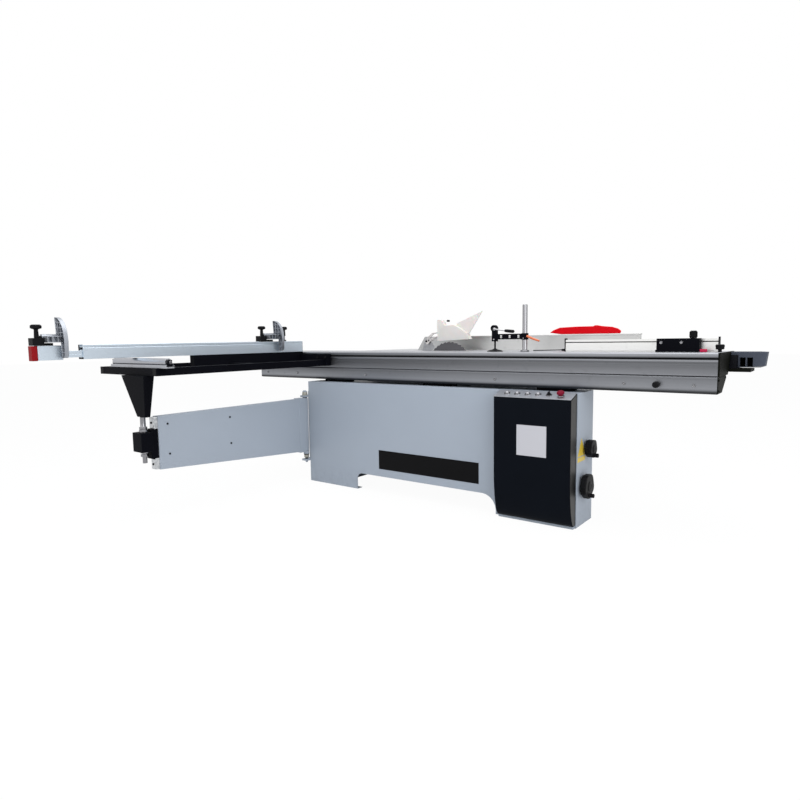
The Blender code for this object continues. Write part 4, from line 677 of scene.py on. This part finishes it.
# ---- tables and rip fence --------------------------------------------------------------
def make_tables():
    refined("saw_table", GROUND_IRON, 0.0012)
    refined("side_table", POWDER, 0.0015)
    refined("rip_fence_rail", CHROME, 0.001)
    refined("rip_fence", RIP_PLATE, 0.0008)
    refined("rip_fence_head", ROUGH_IRON, 0.003, 3)
    refined("rip_fence_lever", BLACK_PLASTIC, 0.0015)
    outline = points_from(0, 0.9735, [
        (-1.035, 0), (-0.690, 0), (-0.618, 0.010), (-0.640, 0.025), (-0.680, 0.040),
        (-0.790, 0.044), (-0.880, 0.044), (-0.892, 0.049), (-0.905, 0.049), (-0.930, 0.044),
        (-0.990, 0.038), (-1.022, 0.028), (-1.040, 0.014)])
    outline_solid("X", [outline], (0.152, 0.164))
    finish_piece("push_stick", "rip_fence", RED_PLASTIC, 0.004, 3)


# ---- blade, guard and scoring ----------------------------------------------------------
def make_saw_unit():
    refined("saw_blade", BLADE_STEEL, 0.0003, 1)
    refined("scoring_blade", SCORER_STEEL, 0.0003, 1)
    refined("riving_knife", STEEL, 0.0005, 1)
    turning((0, 0, BLADE_Z), (-1, 0, 0), [
        (0.045, 0.0022), (0.045, 0.008), (0.040, 0.010), (0.020, 0.010)])
    bar((-0.010, 0, BLADE_Z), (-0.024, 0, BLADE_Z), 0.018, 6)
    finish_piece("blade_flange", "arbor", STEEL, 0.0005)
    refined("guard_hood", GUARD, 0.003, 3)
    for x in (-0.0110, 0.0110):
        for route in (((0.172, 0.934), (0.158, 0.968), (0.125, 0.993), (0.058, 1.000)),
                      ((0.160, 0.926), (0.140, 0.950), (0.108, 0.968), (0.055, 0.975))):
            for start, end in zip(route, route[1:]):
                bar((x, *start), (x, *end), 0.0036, 12)
        bar((x - 0.002, 0.166, 0.932), (x + 0.002, 0.166, 0.932), 0.011)
    bar((-0.014, 0.058, 0.993), (0.014, 0.058, 0.993), 0.006, 16)
    links = finish_piece("guard_link_bars", "blade_guard", LINK_WHITE, smooth=45)
    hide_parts("guard_links")
    for y, z, reach in ((0.008, 1.071, 0.010), (0.170, 0.942, 0.019)):
        turning((-reach, y, z), (1, 0, 0), [
            (0.004, 0), (0.0065, 0.001), (0.0065, 0.004), (0.0040, 0.005),
            (0.0040, 2 * reach - 0.005), (0.0065, 2 * reach - 0.004),
            (0.0065, 2 * reach - 0.001), (0.004, 2 * reach)])
    finish_piece("guard_bolts", "blade_guard", BLACK_PLASTIC, smooth=40)
    for node in ("saw_arbor", "motor_pulley"):
        painted(node, STEEL)
    for node in ("arbor_housing", "tilt_cradle", "trunnion_front", "trunnion_rear"):
        painted(node, ROUGH_IRON)
    for node in ("saw_motor", "scoring_motor"):
        painted(node, ENAMEL)
    painted("drive_belt", RUBBER)


# ---- clamp and edge fence --------------------------------------------------------------
def make_clamp():
    column_y, head_y = -0.636, -0.452
    refined("clamp_column", CHROME, 0.001)
    low, high = 0.949, 0.980
    side = [(column_y, low), (head_y + 0.006, low), (head_y + 0.010, low + 0.004),
            (head_y + 0.010, high), (column_y, high)]
    middle = (low + high) / 2
    holes = [rectangle(about(column_y + along, 0.0058), about(middle, 0.008))
             for along in (0.034, 0.088, 0.141)]
    outline_solid("X", [side, *holes], (SLOT_X - 0.011, SLOT_X - 0.0085))
    for z in (low + 0.0003, high - 0.0033):
        block((SLOT_X - 0.0107, SLOT_X + 0.011), (column_y, head_y - 0.006), (z, z + 0.003))
    bore = [(SLOT_X + 0.0056 * math.cos(math.pi * k / 8),
             head_y + 0.0056 * math.sin(math.pi * k / 8)) for k in range(16)]
    head = rectangle(about(SLOT_X, 0.0128), (head_y - 0.013, head_y + 0.015))
    outline_solid("Z", [head, bore], (0.938, 0.967))
    block(about(SLOT_X, 0.0126), (head_y - 0.0128, head_y + 0.0148), (0.9665, 1.008))
    knuckle = (head_y + 0.004, 1.012)
    bar((SLOT_X - 0.013, *knuckle), (SLOT_X + 0.013, *knuckle), 0.0185, 32)
    bar((SLOT_X, column_y, low - 0.002), (SLOT_X, column_y, high + 0.002), 0.0195, 32)
    arm = finish_piece("clamp_arm_perforated", "clamp_arm", FRAME_BLACK, 0.0008)
    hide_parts("clamp_arm")
    screw_head((SLOT_X - 0.0192, column_y, 0.955), (-1, 0, 0), 0.003, 0.003)
    screw_head((SLOT_X - 0.0126, head_y, 0.950), (-1, 0, 0), 0.004, 0.0025)
    finish_piece("clamp_arm_screws", "clamp_arm", STEEL)

    x = SLOT_X - 0.0173
    bar((x, head_y, 1.008), (x, head_y - 0.082, 0.996), 0.0040, 16)
    turning((SLOT_X - 0.0133, head_y - 0.004, 1.008), (-1, 0, 0), [
        (0.0085, 0.0), (0.0085, 0.0050), (0.0065, 0.0055), (0.0065, 0.0035), (0.004, 0.0035)])
    finish_piece("clamp_lever_bar", "clamp_lever", STEEL, smooth=40)
    turning((x, head_y - 0.070, 0.9975), (0, -1, -0.10), [
        (0.006, 0.0), (0.0080, 0.003), (0.0090, 0.018), (0.0090, 0.042), (0.0085, 0.054),
        (0.005, 0.058)])
    grip = finish_piece("clamp_lever_grip", "clamp_lever", BLACK_PLASTIC, smooth=45)
    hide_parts("clamp_lever")
    bar((SLOT_X - 0.012, column_y - 0.017, 0.966), (SLOT_X - 0.018, -0.690, 0.952), 0.0060, 14)
    bar((SLOT_X - 0.0175, -0.688, 0.9525), (SLOT_X - 0.020, -0.730, 0.938), 0.0062, 14, 0.0050)
    finish_piece("column_lock_lever", "clamp_arm", ORANGE, 0.001)
    refined("clamp_pad", BLACK_PLASTIC, 0.001)


def make_edge_fence():
    face, base = SLOT_X + 0.022, TABLE_TOP + 0.0003
    section = points_from(face, base, [
        (0, 0), (0.024, 0), (0.024, 0.062), (0, 0.062), (0, 0.051), (0.002, 0.051), (0.002, 0.053),
        (0.009, 0.053), (0.009, 0.044), (0.002, 0.044), (0.002, 0.046), (0, 0.046), (0, 0.006),
        (0.0015, 0.005), (0.0015, 0.003), (0, 0.002)])
    hollow = rectangle((face + 0.006, face + 0.020), (base + 0.008, base + 0.036))
    outline_solid("Y", [section, hollow], (-1.589, -0.861))
    obj = finish_piece("edge_fence_section", "edge_fence", FENCE_PLATE)
    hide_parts("edge_fence")
    for y in (-1.594, -0.861):
        block((face - 0.003, face + 0.027), (y, y + 0.005), (base, base + 0.070))
    bar((face + 0.010, -0.856, 0.889), (face + 0.010, -0.836, 0.889), 0.006, 16)
    finish_piece("edge_fence_ends", "edge_fence", BLACK_PLASTIC, 0.0006)
    # a near-black sheet at the bottom of the fence groove paints the shade inside it
    block((face + 0.0084, face + 0.0088), (-1.588, -0.862), (base + 0.0445, base + 0.0525))
    finish_piece("edge_fence_groove_shade", "edge_fence", PAINTED_SHADE_BLACK)
    refined("edge_fence_block", FRAME_BLACK, 0.002)
    refined("edge_fence_knob", BLACK_PLASTIC, 0.0012)
    knurls, knob_y = 16, -1.487
    for step in range(knurls):
        angle = 2 * math.pi * step / knurls
        x, y = SLOT_X + 0.016 * math.cos(angle), knob_y + 0.016 * math.sin(angle)
        bar((x, y, 0.949), (x, y, 0.974), 0.0016, 8)
    finish_piece("edge_knob_knurls", "edge_knob", BLACK_PLASTIC)
    for y in (-1.440, -1.350):
        screw_head((SLOT_X - 0.020, y, base + 0.045), (-1, 0, 0), 0.007, 0.004)
    finish_piece("edge_block_screws", "edge_fence", CHROME, 0.0004)
    bar((face + 0.010, -0.837, 0.889), (face + 0.010, -0.672, 0.886), 0.0026, 14)
    finish_piece("edge_fence_rod", "edge_fence", BLACK_PLASTIC, 0.0004)
    block((SLOT_X - 0.034, SLOT_X - 0.021), (-1.552, -1.522), (base, base + 0.014))
    finish_piece("edge_fence_foot", "edge_fence", PINK_FOOT, 0.002)


# ---- outrigger and swing arm -----------------------------------------------------------
def make_outrigger():
    refined("outrigger_frame", FRAME_BLACK, 0.0012)
    refined("outrigger_post", FRAME_BLACK, 0.004, 3)
    refined("outrigger_roller", RAIL_ALUMINIUM, 0.0008)
    roller_x, roller_z, ends = -1.600, 0.860, (0.633, 1.172)
    block(about(roller_x, 0.0225), (ends[0] - 0.0005, ends[1] + 0.0005), (0.8295, 0.8365))
    for x in (roller_x - 0.0225, roller_x + 0.0205):
        block((x, x + 0.002), ends, (0.836, 0.846))
    finish_piece("roller_channel", "sliding_table", RAIL_ALUMINIUM, 0.0006)
    for y, way in ((ends[0], -1), (ends[1], 1)):
        nut_end = (roller_x, y + way * 0.007, roller_z)
        bar((roller_x, y, roller_z), nut_end, 0.009, 6)
        bar(nut_end, (roller_x, y + way * 0.012, roller_z), 0.005, 14)
    finish_piece("roller_nuts", "sliding_table", CHROME, 0.0006)
    for y in (0.720, 1.245):
        block((-1.6365, -1.635), about(y, 0.016), (0.793, 0.827))
    finish_piece("frame_end_plugs", "sliding_table", BLACK_PLASTIC, 0.002)
    for y in (0.760, 1.225, 0.690):
        screw_head((-0.4353, y, 0.848), (-1, 0, 0), 0.008, 0.006)
    finish_piece("frame_bolts", "sliding_table", BLACK_PLASTIC, 0.0004)


def make_swing_arm():
    refined("swing_arm", POWDER, 0.0015)
    refined("arm_bracket", POWDER, 0.0015)
    for x, z in ((-1.500, 0.523), (-1.495, 0.358), (-1.094, 0.513), (-1.092, 0.356)):
        for way in (-1, 1):
            screw_head((x, ARM_Y + way * ARM_HALF, z), (0, way, 0), 0.0055, 0.0030)
    finish_piece("arm_screws", "swing_arm", BLACK_PLASTIC, 0.0004)
    turning((HINGE_X, ARM_Y, 0.5765), (0, 0, 1), [
        (0.0170, 0.0), (0.0182, 0.003), (0.0182, 0.020), (0.0160, 0.034), (0.0100, 0.042),
        (0.0040, 0.0438)])
    turning((HINGE_X, ARM_Y, 0.161), (0, 0, 1),
            [(0.0150, 0.0), (0.0165, 0.002), (0.0165, 0.019)])
    finish_piece("hinge_pin_cap", "base", HINGE_CAST, smooth=45)
    for low, high, radius in ((0.5700, 0.5760, 0.0165), (0.1805, 0.1865, 0.0182),
                              (0.1500, 0.1605, 0.0095)):
        bar((HINGE_X, ARM_Y, low), (HINGE_X, ARM_Y, high), radius, 28)
    finish_piece("hinge_washers", "base", BLACK_PLASTIC, 0.0006)
    bar((HINGE_X, ARM_Y, 0.187), (HINGE_X, ARM_Y, 0.2075), 0.0195, 32)
    finish_piece("arm_barrel_foot", "swing_arm", POWDER, 0.0006)


def make_telescope():
    gap = 0.0033
    tube_x = (ARM_END_X - 0.022, ARM_END_X + 0.855)
    y = (ARM_Y - ARM_HALF + gap, ARM_Y + ARM_HALF - gap)
    z = (ARM_LOW + gap, ARM_TOP - gap)
    wall = 0.004
    inner = rectangle((y[0] + wall, y[1] - wall), (z[0] + wall, z[1] - wall))
    outline_solid("X", [rectangle(y, z), inner], tube_x)
    plug_x, inside = (tube_x[0] - 0.002, tube_x[0] + 0.040), (y[0] + 0.0045, y[1] - 0.0045)
    block(plug_x, inside, (z[1] - 0.060, z[1] - 0.0045))
    block(plug_x, inside, (z[0] + 0.0045, z[0] + 0.055))
    tube = finish_piece("arm_inner_tube_galvanised", "arm_extension", ZINC, 0.0010)
    block((POST_X - 0.038, ARM_END_X - 0.042), about(ARM_Y, 0.043), (0.389, 0.491))
    block((ARM_END_X - 0.043, ARM_END_X - 0.001), about(ARM_Y, 0.0235), (0.345, 0.504))
    head = finish_piece("arm_head_block", "arm_extension", FRAME_BLACK, 0.0025, 3)
    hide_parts("arm_inner_tube")
    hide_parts("arm_inner_tube")
    for hole in (0.535, 0.312):
        screw_head((plug_x[0], ARM_Y, hole), (-1, 0, 0), 0.006, 0.003)
    finish_piece("tube_end_screws", "arm_extension", BLACK_PLASTIC)
    refined("arm_shaft", CHROME, 0.0012)
    bar((POST_X, ARM_Y, 0.5065), (POST_X, ARM_Y, 0.520), 0.020, 6)
    bar((POST_X, ARM_Y, 0.3750), (POST_X, ARM_Y, 0.3610), 0.020, 6)
    finish_piece("shaft_nuts", "arm_extension", CHROME, 0.0012)


# ---- crosscut fence and stops ----------------------------------------------------------
def make_stop(prefix, face_x, seat, reach):
    """A flip stop: ribbed plate, hinge barrel and link on one arm, over its block and knob."""
    refined(prefix + "_block", BLACK_PLASTIC, 0.002)
    refined(prefix + "_knob", BLACK_PLASTIC, 0.0015)
    front, drop = CROSS_Y - 0.066, 0.060
    outline = points_from(front, seat, [
        (0.014, -drop), (0.004, 0.014 - drop), (0, 0.020), (0.005, 0.060), (0.015, 0.088),
        (0.032, 0.111), (0.056, 0.128), (0.080, 0.134), (0.088, 0.132), (0.084, 0.080),
        (0.082, 0.052), (0.082, 0.030), (0.036, 0.016), (0.034, -drop)])
    outline_solid("X", [outline], (face_x - 0.020, face_x))
    near = min(bench.faces, key=lambda f: f.calc_center_median().x)
    bmesh.ops.inset_region(bench, faces=[near], thickness=0.0035, depth=0)
    bmesh.ops.translate(bench, verts=near.verts, vec=(0.015, 0, 0))
    ribs = (face_x - 0.018, face_x - 0.004)
    for z, start, end in ((-0.035, 0.005, 0.032), (-0.010, 0.005, 0.032), (0.034, 0.005, 0.080),
                          (0.058, 0.007, 0.080), (0.082, 0.016, 0.082), (0.106, 0.032, 0.083)):
        block(ribs, (front + start, front + end), (seat + z, seat + z + 0.003))
    for y, low, high in ((0.038, 0.022, 0.110), (0.062, 0.026, 0.126)):
        block(ribs, (front + y, front + y + 0.003), (seat + low, seat + high))
    hinge = (CROSS_Y + 0.010, seat + 0.040)
    bar((face_x - reach + 0.0253, *hinge), (face_x, *hinge), 0.014, 28)
    link = (face_x - reach + 0.030, face_x - 0.002)
    for z in (0.0140, 0.041):
        block(link, (CROSS_Y - 0.048, CROSS_Y + 0.002), (seat + z, seat + z + 0.003))
    block((link[0] + 0.0005, link[1] - 0.0005), (CROSS_Y - 0.022, CROSS_Y - 0.019),
          (seat + 0.0142, seat + 0.0438))
    for x in (reach - 0.0302, reach - 0.050, 0.060, 0.040):
        block((face_x - x, face_x - x + 0.003), (CROSS_Y - 0.0478, CROSS_Y + 0.0018),
              (seat + 0.0144, seat + 0.0436))
    arm = finish_piece(prefix + "_arm_ribbed", prefix + "_arm", DIE_CAST, 0.0005)
    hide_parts(prefix + "_arm")


def make_crosscut_fence():
    low, top = CROSS_LOW, CROSS_TOP
    section = points_from(CROSS_Y, low, [
        (-0.0215, 0), (0.0215, 0), (0.0225, 0.001), (0.0225, 0.028), (0.0145, 0.028),
        (0.0145, 0.036), (0.0225, 0.036), (0.0225, 0.071), (0.0215, 0.072), (0.004, 0.072),
        (0.004, 0.069), (0.009, 0.069), (0.009, 0.062), (-0.015, 0.062), (-0.015, 0.069),
        (-0.010, 0.069), (-0.010, 0.072), (-0.0205, 0.072), (-0.0225, 0.070), (-0.0225, 0.060),
        (-0.0213, 0.0585), (-0.0213, 0.0555), (-0.0225, 0.054), (-0.0225, 0.001)])
    chamber = points_from(CROSS_Y, low, [
        (-0.0155, 0.0095), (0.0130, 0.0095), (0.0130, 0.0250), (0.0110, 0.0425),
        (-0.0155, 0.0425)])
    upper = rectangle(about(CROSS_Y, 0.0185), (low + 0.046, top - 0.014))
    outline_solid("X", [section, chamber, upper], CROSS_ENDS)
    obj = finish_piece("crosscut_fence_section", "crosscut_fence", PALE_RAIL, smooth=24)
    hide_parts("crosscut_fence")
    outer, inner = CROSS_ENDS
    cap_y = about(CROSS_Y, 0.0215)
    outline_solid("X", [rectangle(cap_y, (low + 0.001, top - 0.002))], (inner, inner + 0.003))
    block((outer - 0.0025, outer), cap_y, (low, low + 0.008))
    block((outer - 0.0025, outer), (CROSS_Y + 0.016, cap_y[1]), (low, top - 0.002))
    finish_piece("crosscut_fence_ends", "crosscut_fence", BLACK_PLASTIC, 0.0006)

    carriage = (outer - 0.215, outer - 0.093)
    carriage_y = about(CROSS_Y, 0.0185)
    bar_x = (carriage[1] - 0.010, outer + 0.720)
    block(bar_x, (CROSS_Y - 0.015, CROSS_Y + 0.012), (low + 0.010, low + 0.0245))
    block(bar_x, (CROSS_Y - 0.015, CROSS_Y + 0.010), (low + 0.024, low + 0.042))
    bar_piece = finish_piece("extension_bar", "fence_extension", PALE_RAIL, 0.0008)
    block((carriage[0] + 0.0105, carriage[1]), carriage_y, (low, top - 0.003))
    box_piece = finish_piece("extension_carriage", "fence_extension", PALE_RAIL, 0.0015)
    block((carriage[0] - 0.015, carriage[0] + 0.010),
          (carriage_y[0] - 0.0015, carriage_y[1] + 0.0015), (low - 0.002, top - 0.004))
    cap = finish_piece("extension_end_cap", "fence_extension", CAP_RED, 0.003, 3)
    for shown in (bar_piece, box_piece, cap):
        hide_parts("fence_extension")

    make_stop("outer_stop", carriage[1] + 0.008, top - 0.003, 0.115)
    make_stop("inner_stop", -0.610, top, 0.138)
    turning((-0.560, CROSS_Y - 0.006, top), (0, 0, 1), [
        (0.014, 0.0003), (0.014, 0.008), (0.006, 0.010), (0.006, 0.034), (0.011, 0.036),
        (0.009, 0.073), (0.022, 0.079), (0.022, 0.091), (0.016, 0.096)])
    finish_piece("spare_stop_knob", "crosscut_fence", BLACK_PLASTIC, smooth=40)


# ---- studio ----------------------------------------------------------------------------
def ray_seen(tree):
    """1 for the rays that look at the background itself, 0 for those that carry light."""
    path = tree.nodes.new("ShaderNodeLightPath")
    total = path.outputs["Is Camera Ray"]
    for name in ("Is Glossy Ray", "Is Transmission Ray"):
        joined = tree.nodes.new("ShaderNodeMath")
        joined.operation = "MAXIMUM"
        tree.links.new(total, joined.inputs[0])
        tree.links.new(path.outputs[name], joined.inputs[1])
        total = joined.outputs[0]
    return total


def mix_shaders(tree, share, lit, seen, output):
    """Sends the seen shader to an output by its share, and the lit one for the rest."""
    mixed = tree.nodes.new("ShaderNodeMixShader")
    for source, socket in zip((share, lit.outputs[0], seen.outputs[0]), mixed.inputs):
        tree.links.new(source, socket)
    tree.links.new(mixed.outputs[0], tree.nodes[output].inputs[0])


def make_studio():
    world = bpy.data.worlds.new("studio")
    bpy.context.scene.world = world
    world.use_nodes = True
    tree = world.node_tree
    light = tree.nodes["Background"]
    light.inputs["Color"].default_value = (0.93, 0.96, 1.0, 1)
    light.inputs["Strength"].default_value = 0.62
    white = tree.nodes.new("ShaderNodeBackground")
    white.inputs["Color"].default_value = (1, 1, 1, 1)
    mix_shaders(tree, ray_seen(tree), light, white, "World Output")

    bmesh.ops.create_grid(bench, x_segments=1, y_segments=1, size=30)
    floor = off_bench("floor")
    floor.location.z = -0.0005
    material = bpy.data.materials.new("floor")
    material.use_nodes = True
    tree = material.node_tree
    shader = tree.nodes["Principled BSDF"]
    shader.inputs["Base Color"].default_value = (0.90, 0.90, 0.90, 1)
    shader.inputs["Roughness"].default_value = 0.9
    glow = tree.nodes.new("ShaderNodeEmission")
    glow.inputs["Color"].default_value = (1, 1, 1, 1)
    share = tree.nodes.new("ShaderNodeMath")
    share.operation = "MULTIPLY"
    share.inputs[1].default_value = 0.96
    tree.links.new(ray_seen(tree), share.inputs[0])
    mix_shaders(tree, share.outputs[0], shader, glow, "Material Output")
    floor.data.materials.append(material)

    for name, place, aim, size, power in (
            ("overhead", (-0.8, -0.4, 4.6), (-0.3, 0.0, 0.5), 5.0, 190),
            ("infeed_side", (-2.6, -4.8, 2.4), (-0.3, -0.4, 0.5), 3.2, 95),
            ("operator_side", (-5.4, 0.6, 2.6), (-0.8, 0.2, 0.5), 3.6, 55)):
        lamp = bpy.data.lights.new(name, "AREA")
        lamp.size = size
        lamp.energy = power
        obj = bpy.data.objects.new(name, lamp)
        obj.location = SAW + Vector(place)
        obj.rotation_euler = (Vector(aim) - Vector(place)).to_track_quat("-Z", "Y").to_euler()
        obj.visible_camera = False
        bpy.context.scene.collection.objects.link(obj)


def make_camera():
    """The camera, from where it stands and its heading, tilt and lean in degrees."""
    place = Vector((-3.292, -2.078, 0.961))
    yaw, pitch, roll = (math.radians(v) for v in (37.05, -5.86, -0.81))
    forward = Vector((math.cos(yaw) * math.cos(pitch), math.sin(yaw) * math.cos(pitch),
                      math.sin(pitch)))
    level = Vector((math.sin(yaw), -math.cos(yaw), 0))
    above = level.cross(forward)
    right = level * math.cos(roll) + above * math.sin(roll)
    up = above * math.cos(roll) - level * math.sin(roll)
    camera = bpy.data.cameras.new("camera")
    camera.lens = 26.87
    camera.sensor_width = 36
    obj = bpy.data.objects.new("camera", camera)
    turn = Matrix((right, up, -forward)).transposed().to_4x4()
    obj.matrix_world = Matrix.Translation(SAW + place) @ turn
    bpy.context.scene.collection.objects.link(obj)
    bpy.context.scene.camera = obj
    bpy.context.scene.view_settings.view_transform = "Standard"


make_table_section()
make_beam()
make_table_fittings()
make_cabinet()
make_controls()
make_cabinet_fittings()
make_tables()
make_saw_unit()
make_clamp()
make_edge_fence()
make_outrigger()
make_swing_arm()
make_telescope()
make_crosscut_fence()
make_studio()
make_camera()
